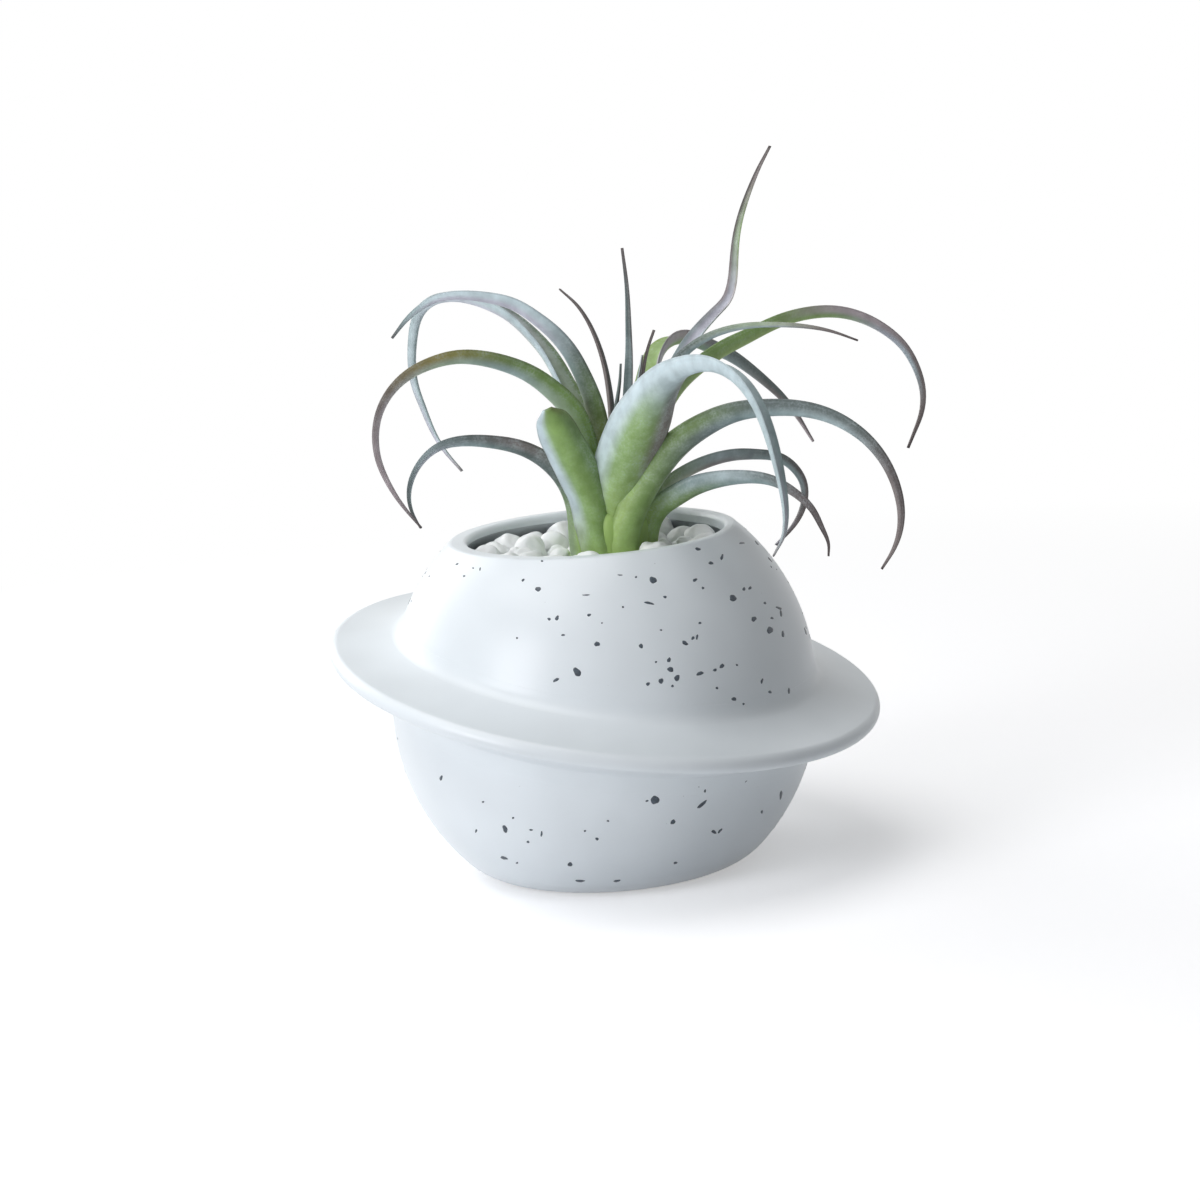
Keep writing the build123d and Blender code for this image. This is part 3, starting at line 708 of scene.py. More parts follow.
leaves = {
    "leaf_left_low": dict(
        tier="outer", seat_turn=-164, heading=-155,
        width_share=0.44, along=slender_shares, twist=25, dust=0.5,
        traced_px=((572, 505), (562, 482), (545, 464), (522, 451), (490, 444), (460, 443),
                   (437, 449), (420, 464), (411, 482), (409, 500), (413, 515), (420, 528)),
        paint=((0.0, "bright", "sage", "frost"), (0.18, "green", "moss", "frost"),
               (0.3, "slate", "slate", "mist"), (0.45, "taupe", "slate", "taupe"),
               (0.62, "slate", "teal", "slate"), (0.78, "mist", "lavender", "frost"),
               (0.9, "slate", "mist", "slate"), (1.0, "brown")),
    ),
    "leaf_left_blunt": dict(
        tier="outer", seat_turn=-115, heading=-142,
        width_share=0.68, along=blunt_shares, twist=55, dust=0.3,
        traced_px=((590, 500), (574, 465), (559, 435), (547, 409)),
        paint=((0.0, "bright"), (0.22, "green", "green", "sage"), (0.4, "moss", "green", "frost"),
               (0.9, "moss", "green", "frost"), (1.0, "olive", "moss", "frost")),
    ),
    "leaf_left_middle": dict(
        tier="middle", seat_turn=-147, heading=-152,
        width_share=0.47, along=slender_shares, twist=30, dust=0.35,
        traced_px=((587, 480), (580, 440), (568, 412), (550, 393), (530, 378), (505, 367),
                   (480, 361), (455, 360), (430, 366), (408, 377), (391, 393), (380, 413),
                   (376, 437), (379, 460), (387, 480), (398, 499), (410, 515), (421, 528)),
        paint=((0.0, "bright"), (0.2, "green", "green", "moss"), (0.32, "green", "sage", "slate"),
               (0.46, "moss", "teal", "mist"), (0.6, "ochre", "sage", "rose"),
               (0.74, "taupe", "rose", "frost"), (0.92, "rose"), (1.0, "brown")),
    ),
    "leaf_left_high": dict(
        tier="middle", seat_turn=152, heading=171,
        width_share=0.53, along=slender_shares, twist=35, dust=0.3,
        traced_px=((597, 440), (590, 402), (580, 377), (567, 353), (551, 334), (533, 319),
                   (514, 307), (490, 300), (465, 297), (440, 299), (420, 309), (405, 322),
                   (392, 338)),
        paint=((0.0, "ochre", "ochre", "olive"), (0.2, "ochre", "olive", "olive"),
               (0.36, "moss", "olive", "slate"), (0.5, "slate", "teal", "mist"),
               (0.6, "frost", "lavender", "lavender"), (0.86, "frost", "lavender", "frost"),
               (0.94, "teal", "mist", "lavender"), (1.0, "brown")),
    ),
    "leaf_left_rear": dict(
        tier="middle", seat_turn=91, heading=137,
        width_share=0.42, along=slender_shares, twist=20, dust=0.5,
        traced_px=((592, 450), (577, 412), (562, 383), (548, 358), (530, 336), (510, 318),
                   (490, 307), (468, 300), (445, 299), (428, 306), (418, 320), (414, 340),
                   (413, 362), (416, 385), (423, 405), (433, 430), (446, 452), (462, 471)),
        paint=((0.0, "ochre"), (0.15, "sage", "ochre", "olive"), (0.3, "frost", "sage", "moss"),
               (0.5, "mist", "lavender", "slate"), (0.75, "mist"), (0.95, "lavender", "mist", "mist"),
               (1.0, "taupe")),
    ),
    "leaf_centre_curled": dict(
        tier="inner", seat_turn=128, heading=125,
        width_share=0.2, along=slender_shares, twist=20, dust=0.1,
        traced_px=((610, 450), (611, 420), (609, 395), (605, 370), (598, 345), (588, 322),
                   (575, 303), (560, 289)),
        paint=((0.0, "olive", "ochre", "olive"), (0.4, "taupe", "taupe", "slate"), (1.0, "brown")),
    ),
    "leaf_centre_tall": dict(
        tier="inner", seat_turn=29, heading=5,
        width_share=0.26, along=slender_shares, twist=60, dust=0.4,
        traced_px=((622, 470), (627, 430), (629, 390), (630, 355), (629, 320), (627, 285),
                   (622, 248)),
        paint=((0.0, "moss", "teal", "slate"), (0.5, "teal", "teal", "slate"),
               (0.75, "teal", "slate", "brown"), (1.0, "brown")),
    ),
    "leaf_centre_brown": dict(
        tier="inner", seat_turn=80, heading=37,
        width_share=0.2, along=slender_shares, twist=30, dust=0.1,
        traced_px=((628, 460), (636, 420), (641, 388), (645, 362), (649, 345), (654, 330)),
        paint=((0.0, "olive", "taupe", "taupe"), (0.6, "taupe", "brown", "brown"), (1.0, "brown")),
    ),
    "leaf_centre_short": dict(
        tier="inner", seat_turn=177, heading=120,
        width_share=0.2, along=slender_shares, twist=30, dust=0.2,
        traced_px=((610, 455), (614, 425), (617, 400), (620, 380), (621, 364)),
        paint=((0.0, "olive", "taupe", "taupe"), (0.6, "slate", "slate", "taupe"),
               (1.0, "slate", "slate", "brown")),
    ),
    "leaf_centre_pale": dict(
        tier="inner", seat_turn=-84, heading=-20,
        width_share=0.2, along=slender_shares, twist=40, dust=0.6,
        traced_px=((622, 460), (631, 425), (636, 395), (640, 370), (642, 355)),
        paint=((0.0, "moss", "teal", "teal"), (0.6, "mist"), (1.0, "mist", "mist", "taupe")),
    ),
    "leaf_right_tall": dict(
        tier="inner", seat_turn=-33, heading=44,
        width_share=0.36, along=slender_shares, twist=20, dust=0.5,
        traced_px=((634, 480), (648, 440), (662, 400), (676, 370), (690, 345), (704, 327),
                   (718, 312), (728, 300), (733, 284), (735, 262), (737, 238), (742, 214),
                   (750, 190), (759, 168), (770, 146)),
        paint=((0.0, "green"), (0.3, "teal", "frost", "mist"), (0.5, "mist", "lavender", "frost"),
               (0.66, "rose", "lavender", "rose"), (0.78, "taupe", "sage", "green"),
               (0.9, "brown", "taupe", "taupe"), (1.0, "brown")),
    ),
    "leaf_right_rear": dict(
        tier="outer", seat_turn=110, heading=48,
        width_share=0.52, along=slender_shares, twist=-20, dust=0.3,
        traced_px=((619, 490), (631, 450), (643, 412), (651, 380), (658, 355), (670, 342),
                   (686, 340), (705, 347), (728, 357), (748, 370), (768, 386), (785, 402),
                   (798, 418), (806, 430), (813, 441)),
        paint=((0.0, "green"), (0.15, "moss", "green", "teal"), (0.35, "bright", "bright", "lavender"),
               (0.5, "bright", "green", "rose"), (0.62, "slate", "teal", "slate"),
               (0.85, "slate", "taupe", "slate"), (0.95, "rose", "rose", "taupe"),
               (1.0, "taupe", "rose", "taupe")),
    ),
    "leaf_right_high": dict(
        tier="middle", seat_turn=41, heading=29,
        width_share=0.5, along=slender_shares, twist=-30, dust=0.25,
        traced_px=((636, 480), (648, 448), (662, 415), (680, 386), (702, 366), (722, 352),
                   (745, 340), (775, 325), (805, 316), (835, 314), (862, 320), (885, 332),
                   (903, 348), (915, 368), (922, 392), (921, 412), (915, 430), (908, 448)),
        paint=((0.0, "green"), (0.3, "green", "bright", "moss"), (0.52, "green", "bright", "green"),
               (0.64, "bright", "green", "rose"), (0.74, "mist", "lavender", "rose"),
               (0.84, "lavender", "frost", "taupe"), (0.9, "taupe"), (1.0, "brown")),
    ),
    "leaf_right_thin": dict(
        tier="middle", seat_turn=-15, heading=-20,
        width_share=0.3, along=slender_shares, twist=-20, dust=0.5,
        traced_px=((640, 480), (648, 445), (656, 410), (668, 378), (683, 356), (702, 341),
                   (725, 331), (750, 326), (780, 325), (810, 327), (835, 332), (858, 340)),
        paint=((0.0, "green"), (0.35, "teal", "slate", "slate"), (0.55, "mist", "teal", "slate"),
               (0.75, "lavender", "mist", "sage"), (0.9, "taupe"), (1.0, "brown")),
    ),
    "leaf_front_broad": dict(
        tier="middle", seat_turn=-85, heading=-58,
        width_share=1.0, along=broad_shares, twist=-28, dust=0.5,
        traced_px=((616, 505), (622, 480), (630, 452), (640, 428), (652, 403), (668, 382),
                   (690, 369), (712, 367), (732, 376), (748, 393), (760, 415), (769, 440),
                   (776, 465), (782, 492), (785, 517), (783, 537), (774, 556)),
        # Painted shade: the taupe and slate on the one edge stand for the shade on the side turned from the
        # light
        paint=((0.0, "bright"), (0.12, "green", "bright", "sage"), (0.2, "taupe", "green", "frost"),
               (0.33, "taupe", "green", "frost"), (0.42, "slate", "mist", "frost"),
               (0.55, "mist", "frost", "frost"), (0.8, "teal", "mist", "mist"),
               (0.94, "mist", "lavender", "mist"), (1.0, "taupe")),
    ),
    "leaf_right_front": dict(
        tier="outer", seat_turn=-70, heading=-14,
        width_share=0.6, along=slender_shares, twist=-25, dust=0.35,
        traced_px=((641, 502), (654, 479), (670, 458), (690, 440), (712, 426), (738, 415),
                   (765, 411), (795, 411), (822, 416), (847, 427), (868, 443), (884, 463),
                   (895, 487), (900, 512), (898, 536), (891, 554), (882, 569)),
        paint=((0.0, "bright"), (0.12, "green", "green", "bright"), (0.22, "slate", "moss", "green"),
               (0.34, "taupe", "slate", "moss"), (0.46, "mist", "teal", "slate"),
               (0.66, "frost", "mist", "slate"), (0.78, "frost", "taupe", "brown"),
               (0.88, "brown", "taupe", "brown"), (0.95, "rose", "taupe", "taupe"), (1.0, "brown")),
    ),
    "leaf_right_middle": dict(
        tier="outer", seat_turn=23, heading=39,
        width_share=0.4, along=slender_shares, twist=-25, dust=0.3,
        traced_px=((652, 500), (666, 485), (685, 473), (708, 463), (732, 457), (757, 456),
                   (778, 459), (794, 470), (803, 486), (803, 503), (797, 519), (787, 533),
                   (776, 545)),
        paint=((0.0, "bright", "green", "green"), (0.22, "moss", "sage", "moss"),
               (0.4, "taupe", "taupe", "mist"), (0.62, "slate", "teal", "slate"),
               (0.75, "brown", "mist", "brown"), (0.88, "brown", "taupe", "taupe"),
               (1.0, "taupe", "lavender", "taupe")),
    ),
    "leaf_right_low": dict(
        tier="outer", seat_turn=-19, heading=-25,
        width_share=0.52, along=slender_shares, twist=-25, dust=0.5,
        traced_px=((662, 510), (676, 500), (694, 490), (715, 483), (745, 479), (772, 482),
                   (795, 494), (812, 510), (822, 528), (829, 545), (829, 556)),
        paint=((0.0, "bright"), (0.2, "green", "green", "bright"), (0.34, "teal", "moss", "teal"),
               (0.5, "frost", "teal", "mist"), (0.64, "mist", "teal", "slate"),
               (0.74, "taupe", "taupe", "brown"), (0.85, "brown"), (1.0, "brown")),
    ),
    "leaf_rear_right": dict(
        tier="outer", seat_turn=63, heading=109,
        width_share=0.46, along=slender_shares, twist=0, dust=0.45,
        arch_shares=((0.08, 0.45), (0.22, 0.78), (0.42, 0.98), (0.62, 1.0), (0.80, 0.84),
                     (0.93, 0.58), (1.0, 0.32)),
        paint=((0.0, "bright"), (0.2, "moss", "green", "sage"), (0.45, "slate", "teal", "mist"),
               (0.7, "mist", "frost", "mist"), (0.88, "taupe"), (1.0, "brown")),
    ),
    "leaf_rear_left": dict(
        tier="outer", seat_turn=144, heading=100,
        width_share=0.46, along=slender_shares, twist=0, dust=0.45,
        arch_shares=((0.08, 0.42), (0.22, 0.72), (0.40, 0.88), (0.58, 0.88), (0.72, 0.78)),
        paint=((0.0, "bright"), (0.2, "sage", "green", "moss"), (0.45, "mist", "teal", "slate"),
               (0.7, "frost", "mist", "mist"), (0.88, "rose", "taupe", "taupe"), (1.0, "brown")),
    ),
}


def traced_point(pixel, seat, heading):
    """Where the line of sight through a pixel meets the upright plane that a leaf lies in."""
    across = outward(heading + 90)
    sight = sight_through(pixel)
    return view_point + sight * ((seat - view_point).dot(across) / sight.dot(across))


def smooth_curve(points, first_way, last_way, count):
    """Points and directions along a cubic curve through the given ones, at even steps of length."""
    fine_steps = 40
    spots = np.array([tuple(p) for p in points])
    steps = np.linalg.norm(np.diff(spots, axis=0), axis=1)
    places = np.concatenate(([0], np.cumsum(steps)))
    size = len(spots)
    rows = np.eye(size)
    right = np.zeros((size, 3))
    right[0] = first_way
    right[-1] = last_way
    for i in range(1, size - 1):
        before, after = steps[i - 1], steps[i]
        rows[i, i - 1 : i + 2] = (after, 2 * (before + after), before)
        rise, fall = (spots[i] - spots[i - 1]) / before, (spots[i + 1] - spots[i]) / after
        right[i] = 3 * (after * rise + before * fall)
    ways = np.linalg.solve(rows, right)

    def at(place):
        i = min(int(np.searchsorted(places, place, "right")) - 1, size - 2)
        t = (place - places[i]) / steps[i]
        a, b, c, d = spots[i], spots[i + 1], ways[i] * steps[i], ways[i + 1] * steps[i]
        return a + t * (c + t * (3 * (b - a) - 2 * c - d + t * (2 * (a - b) + c + d)))

    fine = np.linspace(0, places[-1], fine_steps * size)
    line = np.array([at(x) for x in fine])
    lengths = np.concatenate(([0], np.cumsum(np.linalg.norm(np.diff(line, axis=0), axis=1))))
    even = np.interp(np.linspace(0, lengths[-1], count), lengths, fine)
    line = np.array([at(x) for x in even])
    turns = np.gradient(line, axis=0)
    return [Vector(p) for p in line], [Vector(w).normalized() for w in turns]


def midrib(leaf, seat):
    """The leaf's midrib: straight up off its seat, and then through its traced points or along its arch."""
    if "traced_px" in leaf:
        points = [traced_point(pixel, seat, leaf["heading"]) for pixel in leaf["traced_px"]]
    else:
        reach, rise = outward(leaf["heading"]) * rear_leaf_reach, UP * rear_leaf_rise
        points = [seat + reach * far + rise * high for far, high in leaf["arch_shares"]]
    last_way = (points[-1] - points[-2]).normalized()
    root = Vector((seat.x, seat.y, collar_top + leaf_root_above_collar))
    return smooth_curve([root, seat + UP * leaf_upright_length, *points], UP, last_way, leaf_stations)


def eased(rows, share):
    """A table's values at a share of the length, averaged a little to both sides so that they ease over.
    The first column is the share that each row stands for."""
    places, *columns = zip(*rows)
    spread = [min(1, max(0, share + shift)) for shift in leaf_easing_shares]
    return [float(np.mean(np.interp(spread, places, column))) for column in columns]


def leaf_sizes(leaf, seat_radius, seat_width):
    """Rows of a leaf's width, channel depth and thickness, for each share of its length."""
    width = broad_leaf_width * leaf["width_share"]
    seat_depth = seat_radius - sqrt(seat_radius**2 - seat_width**2 / 4)
    rows = [(0, seat_width, seat_depth, leaf_root_thickness)]
    for share, wide, deep in leaf["along"]:
        flesh = leaf_fullness_share * width * wide * (1 - leaf_thinning_share * share)
        rows.append((share, width * wide, width * deep, leaf_least_thickness + flesh))
    rows.append((1, leaf_tip_width, 0, leaf_least_thickness))
    return rows


def paint_rows(leaf):
    """Rows of a leaf's colours on its one edge, along its middle and on its other edge, as nine values
    for each share of its length."""
    rows = []
    for share, *names in leaf["paint"]:
        if len(names) == 1:
            names = names * 3
        rows.append((share, *(value for name in names for value in linear(finishes[name])[:3])))
    return rows


def leaf_across(leaf, way, share, seed):
    """The direction across a leaf at a share of its length: it turns from its seat to its heading, and
    twists a little unevenly."""
    turn = leaf["seat_turn"] + (leaf["heading"] - leaf["seat_turn"]) * min(1, share / leaf_turned_by_share)
    across = outward(turn - 90)
    across = (across - way * across.dot(way)).normalized()
    waver = noise.noise(Vector((share * leaf_twist_wavers, seed, leaf_twist_noise_layer)))
    twist = radians(leaf["twist"]) * min(1, share / leaf_twisted_by_share) + leaf_twist_waver * waver
    return Matrix.Rotation(twist, 3, way) @ across


def leaf_mesh(name, leaf, material):
    """One leaf: fleshy in the middle, drawn up to thin rounded edges, and closed at its root and tip."""
    seat_radius, seat_height, seat_width = tiers[leaf["tier"]]
    seat = Vector((rosette_offset, 0, seat_height)) + outward(leaf["seat_turn"]) * seat_radius
    sizes = leaf_sizes(leaf, seat_radius, seat_width)
    paint = paint_rows(leaf)
    seed = sum(ord(letter) for letter in name) % leaf_seeds
    points, colours, dusts, veins = [], [], [], []
    for station, (spot, way) in enumerate(zip(*midrib(leaf, seat))):
        share = station / (leaf_stations - 1)
        wide, deep, thick = eased(sizes, share)
        waver = noise.noise(Vector((share * leaf_width_wavers, seed, leaf_width_noise_layer)))
        wide *= 1 + leaf_width_waver_share * waver
        across = leaf_across(leaf, way, share, seed)
        upper = across.cross(way)
        shades = eased(paint, share)
        one_side, middle, other_side = shades[0:3], shades[3:6], shades[6:9]
        dusty = min(1, share / leaf_dusty_by_share) * min(1, (1 - share) / leaf_clean_tip_share)
        for i in range(leaf_corners):
            angle = 2 * pi * i / leaf_corners
            u, v = cos(angle), sin(angle)
            flesh = v * thick * (leaf_upper_fullness_share if v > 0 else leaf_lower_fullness_share)
            drawn_up = deep * abs(u) ** leaf_channel_power
            points.append(spot + across * (u * wide / 2) + upper * (drawn_up + flesh))

            edge = (abs(u) - leaf_edge_from_share) / (leaf_edge_full_share - leaf_edge_from_share)
            edge = min(1, max(0, edge))
            edge = edge * edge * (3 - 2 * edge)
            side = other_side if u > 0 else one_side
            # Painted shade: the upper face and the rounded rims are darkened below their paint
            painted_shade = leaf_upper_painted_shade_share if v > 0 else 1.0
            painted_shade *= leaf_rim_painted_shade_share if abs(u) > leaf_rim_from_share else 1.0
            colours += [painted_shade * (a + (b - a) * edge) for a, b in zip(middle, side)] + [1]
            dusts.append(leaf["dust"] * dusty * (0.5 + 0.5 * edge))
            veins.append(0.5 + 0.5 * cos(2 * pi * leaf_vein_waves * u))
    faces = tube_faces(leaf_stations, leaf_corners)
    faces.append(tuple(range(leaf_corners)))
    faces.append(tuple(reversed(range((leaf_stations - 1) * leaf_corners, leaf_stations * leaf_corners))))
    mesh = piece(name.replace("leaf_", "frond_"), points, faces, material, "rosette", (name,)).data
    keep_on_points(mesh.color_attributes, "spray_and_painted_shade", "FLOAT_COLOR", "color", colours)
    keep_on_points(mesh.attributes, "dust", "FLOAT", "value", dusts)
    keep_on_points(mesh.attributes, "veins", "FLOAT", "value", veins)


def keep_on_points(layers, name, kind, field, values):
    """Stores a value or a colour for each point of a mesh in its layers, for its material to read."""
    layers.new(name, kind, "POINT").data.foreach_set(field, np.array(values, np.float32))


# The cup's outline, from its socket out and up to its top: radii, and heights over its underside

cup_outline_mm = (
    (0.02, 6.6), (2.6, 6.6), (2.6, 0.05), (9.4, 0.05), (9.8, 0.5), (9.9, 2.0), (9.9, 6.3),
    (10.1, 7.6), (10.2, 9.2), (10.2, 10.8), (10.0, 12.2), (9.4, 13.4), (8.4, 14.3), (6.8, 14.9),
    (4.5, 15.2), (0.02, 15.3),
)


def leaf_cup(material):
    """The moulded cup that the leaves grow from: a socket for the peg, faintly lobed sides, and a domed
    top. It is one outline turned about the upright axis."""
    bottom = Vector((rosette_offset, 0, collar_top))
    points = []
    for i in range(cup_sides):
        angle = 2 * pi * i / cup_sides
        swell = 1 + cup_lobe_share * cos(cup_lobes * angle)
        out = Vector((cos(angle), sin(angle), 0))
        for radius, height in cup_outline_mm:
            points.append(bottom + out * (radius * MM * swell) + UP * (height * MM))
    faces = tube_faces(cup_sides, len(cup_outline_mm), closed=True)
    return piece("leaf_cup", points, faces, material, "rosette", ("crown",))


# Stones: how wide, deep and high each is as shares, and its spin and tilt, over and over

stone_shares = (
    (1.0, 0.93, 0.84, 0, 12),
    (0.94, 1.0, 0.93, 10, -16),
    (1.0, 0.9, 0.78, -15, 9),
    (0.92, 0.96, 1.0, 5, -14),
    (0.98, 0.94, 0.74, 20, 16),
    (0.93, 1.0, 0.88, -10, 7),
    (0.97, 0.92, 0.97, 0, -18),
    (0.95, 0.95, 0.81, -20, 14),
    (1.0, 0.98, 0.9, 15, -8),
)


def lump(centre, turn, size, seed):
    """An irregular tumbled stone: a ball with soft flats worn on it."""
    draw = random.Random(seed)
    flats = []
    for _ in range(stone_flats):
        way = Vector((draw.gauss(0, 1), draw.gauss(0, 1), draw.gauss(0, 1))).normalized()
        flats.append((way, draw.uniform(*stone_flat_shares)))
    shift = Vector([seed * step for step in stone_waver_shifts])
    ball = bmesh.new()
    bmesh.ops.create_icosphere(ball, subdivisions=stone_subdivisions, radius=1)
    points = []
    for vertex in ball.verts:
        way = vertex.co.normalized()
        reach = 1.0
        for flat, share in flats:
            facing = way.dot(flat)
            if facing > 0:
                worn = exp(-share / facing / stone_flat_blend_share)
                reach = -stone_flat_blend_share * log(exp(-reach / stone_flat_blend_share) + worn)
        reach += stone_waver_share * noise.noise(way * stone_wavers + shift)
        points.append(centre + turn @ Vector([way[k] * reach * size[k] for k in range(3)]))
    faces = [tuple(v.index for v in face.verts) for face in ball.faces]
    ball.free()
    return points, faces


def large_stones():
    """The place, turn and half size of each large stone. Each is about where its plain solid is, and a
    little larger, so that they lie close together."""
    pitch = stone_width + stone_gap
    ring_reach = mouth_radius - stone_wall_gap - stone_width / 2
    least_from_crown = crown_radius + stone_width / 2 + stone_crown_gap
    bed = []
    for ring in range(int(ring_reach / pitch)):
        reach = ring_reach - pitch * ring
        count = int(2 * pi * reach / pitch)
        for index in range(count):
            angle = 2 * pi * (index + ring / 2) / count
            x = mouth_offset + reach * cos(angle)
            y = reach * sin(angle)
            if hypot(x - rosette_offset, y) < least_from_crown:
                continue
            wide, deep, high, spin, tilt = stone_shares[len(bed) % len(stone_shares)]
            half = stone_swell_share * stone_height * high / 2
            across = stone_swell_share * stone_width / 2
            centre = Vector((x, y, fill_height + half - stone_sink))
            turn = Matrix.Rotation(angle + radians(spin), 3, "Z") @ Matrix.Rotation(radians(tilt), 3, "Y")
            bed.append((centre, turn, (across * wide, across * deep, half)))
    return bed


def gap_places():
    """Where a small stone may go: along the wall, round the cup, and then in rings over the whole bed."""
    wall_reach = mouth_radius - small_stone_wall_share * small_stone_width
    cup_reach = cup_radius + small_stone_cup_share * small_stone_width
    count = small_stone_wall_places
    places = [(mouth_offset, wall_reach, (i + 0.5) * 360 / count) for i in range(count)]
    count = small_stone_cup_places
    places += [(rosette_offset, cup_reach, i * 360 / count) for i in range(count)]
    for reach in small_stone_rings_mm:
        count = reach * small_stone_places_per_mm
        places += [(mouth_offset, reach * MM, i * 360 / count) for i in range(count)]
    return places


def add_small_stones(bed):
    """Fills the gaps in a bed with small stones, as close to each other as poured stones lie."""
    least_from_cup = cup_radius + small_stone_nearest_cup_share * small_stone_width
    most_from_middle = mouth_radius - small_stone_nearest_wall_share * small_stone_width
    for middle, reach, angle in gap_places():
        spot = Vector((middle, 0, 0)) + outward(angle) * reach
        if hypot(spot.x - rosette_offset, spot.y) < least_from_cup:
            continue
        if hypot(spot.x - mouth_offset, spot.y) > most_from_middle:
            continue
        apart = min(hypot(spot.x - other.x, spot.y - other.y) for other, _, _ in bed)
        if apart < small_stone_least_pitch:
            continue
        wide, deep, high, spin, tilt = stone_shares[len(bed) % len(stone_shares)]
        half = small_stone_height * high / 2
        turn = Matrix.Rotation(radians(angle + spin), 3, "Z") @ Matrix.Rotation(radians(tilt), 3, "Y")
        size = (small_stone_width * wide / 2, small_stone_width * deep / 2, half)
        bed.append((spot + UP * (fill_height + half - stone_sink), turn, size))


def stones(material):
    """The bed of stones round the plant, as one piece of separate stones."""
    bed = large_stones()
    add_small_stones(bed)
    points, faces = [], []
    for seed, (centre, turn, size) in enumerate(bed):
        more, sides = lump(centre, turn, size, seed + 1)
        faces += [tuple(len(points) + i for i in face) for face in sides]
        points += more
    return piece("white_stones", points, faces, material, "pot", ("pebbles",))


# Camera, floor and light


def camera():
    """The photograph's view."""
    lens = bpy.data.cameras.new("camera")
    lens.sensor_width = sensor_width_mm
    lens.lens = sensor_width_mm * focal_length_px / picture_width_px
    lens.clip_start = view_distance / 100
    lens.clip_end = view_distance * 20
    thing = bpy.data.objects.new("camera", lens)
    turn = Matrix((view_right, view_up, -view_ahead)).transposed()
    thing.matrix_world = Matrix.Translation(view_point) @ turn.to_4x4()
    bpy.context.scene.collection.objects.link(thing)
    bpy.context.scene.camera = thing


# Where each lamp stands and how wide and high it is, in metres, and its power in watts
lamps = {
    "window_left": dict(place=(-0.68, -0.60, 0.24), wide=0.42, high=0.75, power=5.3, shade="#fdfcff"),
    "window_rear_left": dict(place=(-0.55, 0.55, 0.45), wide=0.5, high=0.7, power=2.6, shade="#ffffff"),
    "ceiling": dict(place=(-0.3, -0.15, 1.05), wide=0.9, high=0.9, power=6.8, shade="#ffffff"),
}


def lamp(name, place, wide, high, power, shade):
    """A soft rectangular lamp that faces the pot's mouth."""
    light = bpy.data.lights.new(name, "AREA")
    light.shape = "RECTANGLE"
    light.size = wide
    light.size_y = high
    light.energy = power
    light.color = linear(shade)[:3]
    thing = bpy.data.objects.new(name, light)
    thing.location = place
    thing.rotation_mode = "QUATERNION"
    thing.rotation_quaternion = (Vector((0, 0, rim_height)) - Vector(place)).to_track_quat("-Z", "Y")
    bpy.context.scene.collection.objects.link(thing)


def seen_or_mirrored(tree):
    """1 for rays from the camera, and for those that it sees by way of gloss or glass; 0 for the rest."""
    path = add(tree, "LightPath")
    either = {0: path.outputs["Is Camera Ray"], 1: path.outputs["Is Glossy Ray"]}
    either = add(tree, "Math", either, out=0, use_clamp=True)
    any_of_them = {0: either, 1: path.outputs["Is Transmission Ray"]}
    return add(tree, "Math", any_of_them, out=0, use_clamp=True)


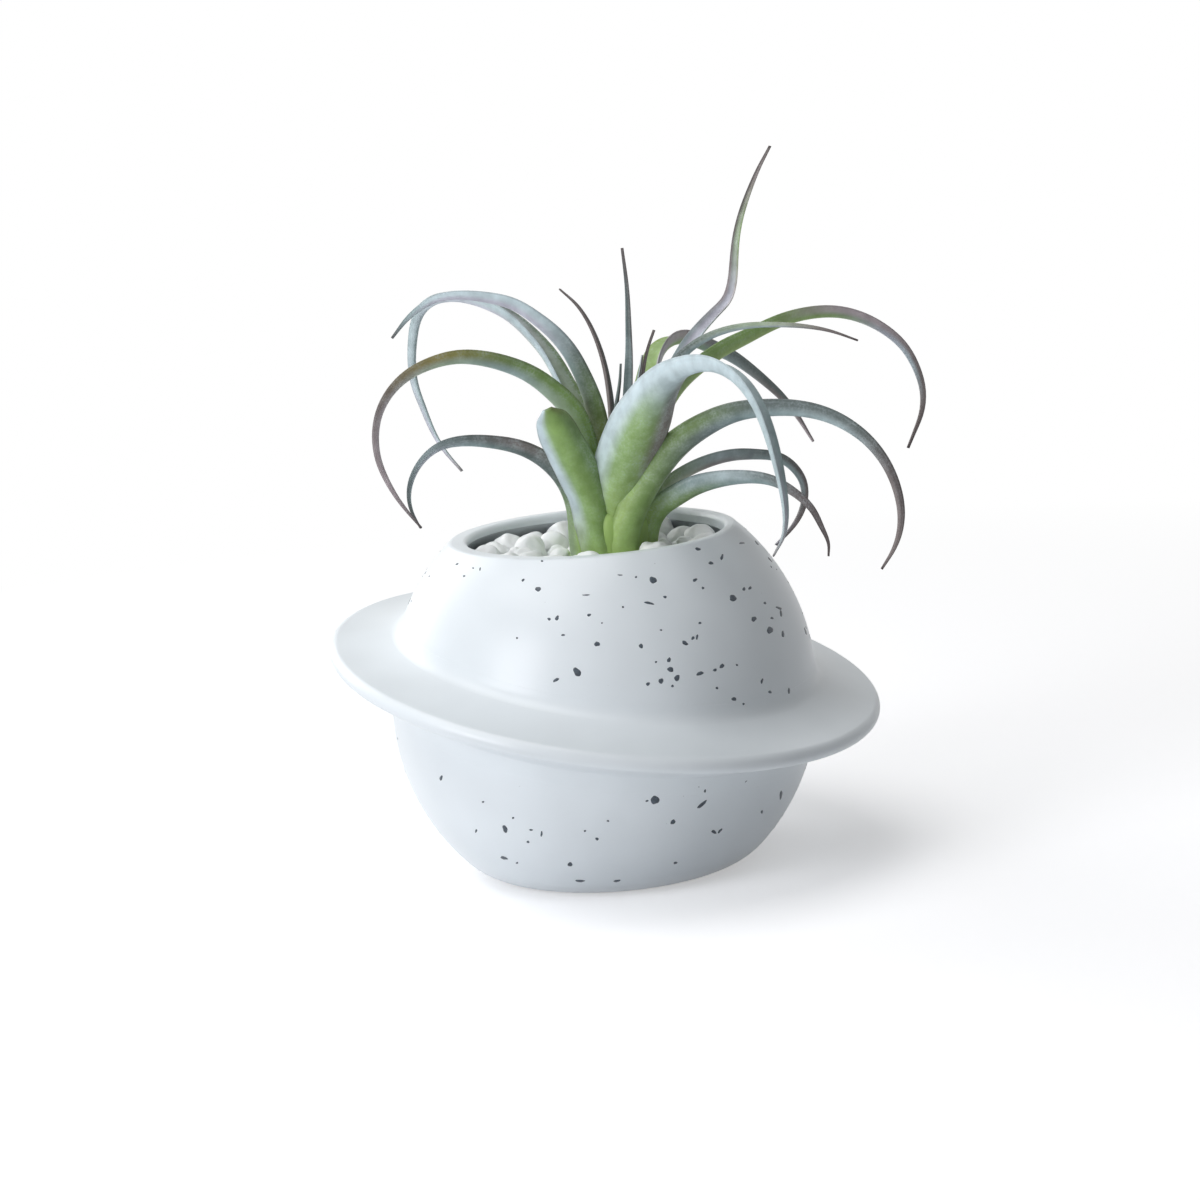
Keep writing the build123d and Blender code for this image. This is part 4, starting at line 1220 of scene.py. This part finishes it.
def paper_floor():
    """A floor of pale paper that keeps the pot's shadow and fades to plain white further off."""
    half_width = 6.0
    fade_from = 140 * MM
    fade_to = 500 * MM
    fibre_width = 1.5 * MM
    glow_strength = 0.42
    material, tree = new_material("pale_paper_floor")
    place = add(tree, "NewGeometry", out="Position")
    distance = add(tree, "VectorMath", {0: place}, out="Value", operation="LENGTH")
    faded = {"Value": distance, "From Min": fade_from, "From Max": fade_to, "To Min": 0.0, "To Max": 1.0}
    fade = add(tree, "MapRange", faded, out=0)
    fibre = add(tree, "TexNoise", {"Vector": place, "Scale": 1 / fibre_width}, out="Fac")
    paper = add(tree, "ValToRGB", {"Fac": fibre}, out=0, stops=((0.3, "#e9eaec"), (0.7, "#efeff1")))
    diffuse = add(tree, "BsdfDiffuse", {"Color": paper}, out=0)
    glow = add(tree, "Emission", {"Color": (1, 1, 1, 1), "Strength": glow_strength}, out=0)
    lifted = add(tree, "AddShader", {0: diffuse, 1: glow}, out=0)
    white = add(tree, "Emission", {"Color": (1, 1, 1, 1), "Strength": 1.0}, out=0)
    shown = add(tree, "MixShader", {0: fade, 1: lifted, 2: white}, out=0)
    unlit = add(tree, "BsdfDiffuse", {"Color": linear("#f0f1f3")}, out=0)
    both = add(tree, "MixShader", {0: seen_or_mirrored(tree), 1: unlit, 2: shown}, out=0)
    add(tree, "OutputMaterial", {"Surface": both})

    mesh = bpy.data.meshes.new("floor")
    corners = [(x * half_width, y * half_width, 0) for x, y in ((-1, -1), (1, -1), (1, 1), (-1, 1))]
    mesh.from_pydata(corners, [], [(0, 1, 2, 3)])
    mesh.materials.append(material)
    floor = bpy.data.objects.new("floor", mesh)
    bpy.context.scene.collection.objects.link(floor)


def surround():
    """A white surround, which lights the pot only faintly."""
    world = bpy.data.worlds.new("surround")
    bpy.context.scene.world = world
    world.use_nodes = True
    tree = world.node_tree
    tree.nodes.clear()
    soft = add(tree, "Background", {"Color": linear("#eceef2"), "Strength": 0.10}, out=0)
    white = add(tree, "Background", {"Color": (1, 1, 1, 1), "Strength": 1.0}, out=0)
    both = add(tree, "MixShader", {0: seen_or_mirrored(tree), 1: soft, 2: white}, out=0)
    add(tree, "OutputWorld", {"Surface": both})


# Making

camera()
paper_floor()
surround()
for lamp_name, details in lamps.items():
    lamp(lamp_name, **details)
bpy.context.scene.view_settings.view_transform = "Standard"

plain_glaze = satin_glaze("plain_satin_glaze", has_pinheads=False)
ring_crest = (ring_radius - ring_crest_inset, ring_crest_above)
ring_lip = (ring_radius - ring_lip_inset, -ring_lip_below)
green = green_polyethylene()
leaf_finish = frosted_leaf()

dress("pot_body", satin_glaze("speckled_satin_glaze", has_pinheads=True))
dress("tilted_ring", plain_glaze)
dress("foam_plug", floral_foam())
dress("stem_pick", green)
glaze_fillet("glaze_fillet_upper", ring_root_above, ring_crest, ring_top_sag, plain_glaze)
glaze_fillet("glaze_fillet_lower", -ring_root_below, ring_lip, -ring_under_sag, plain_glaze)
iron_spots(iron_spot())
leaf_cup(green)
stones(tumbled_quartz())
for leaf_name, leaf in leaves.items():
    leaf_mesh(leaf_name, leaf, leaf_finish)
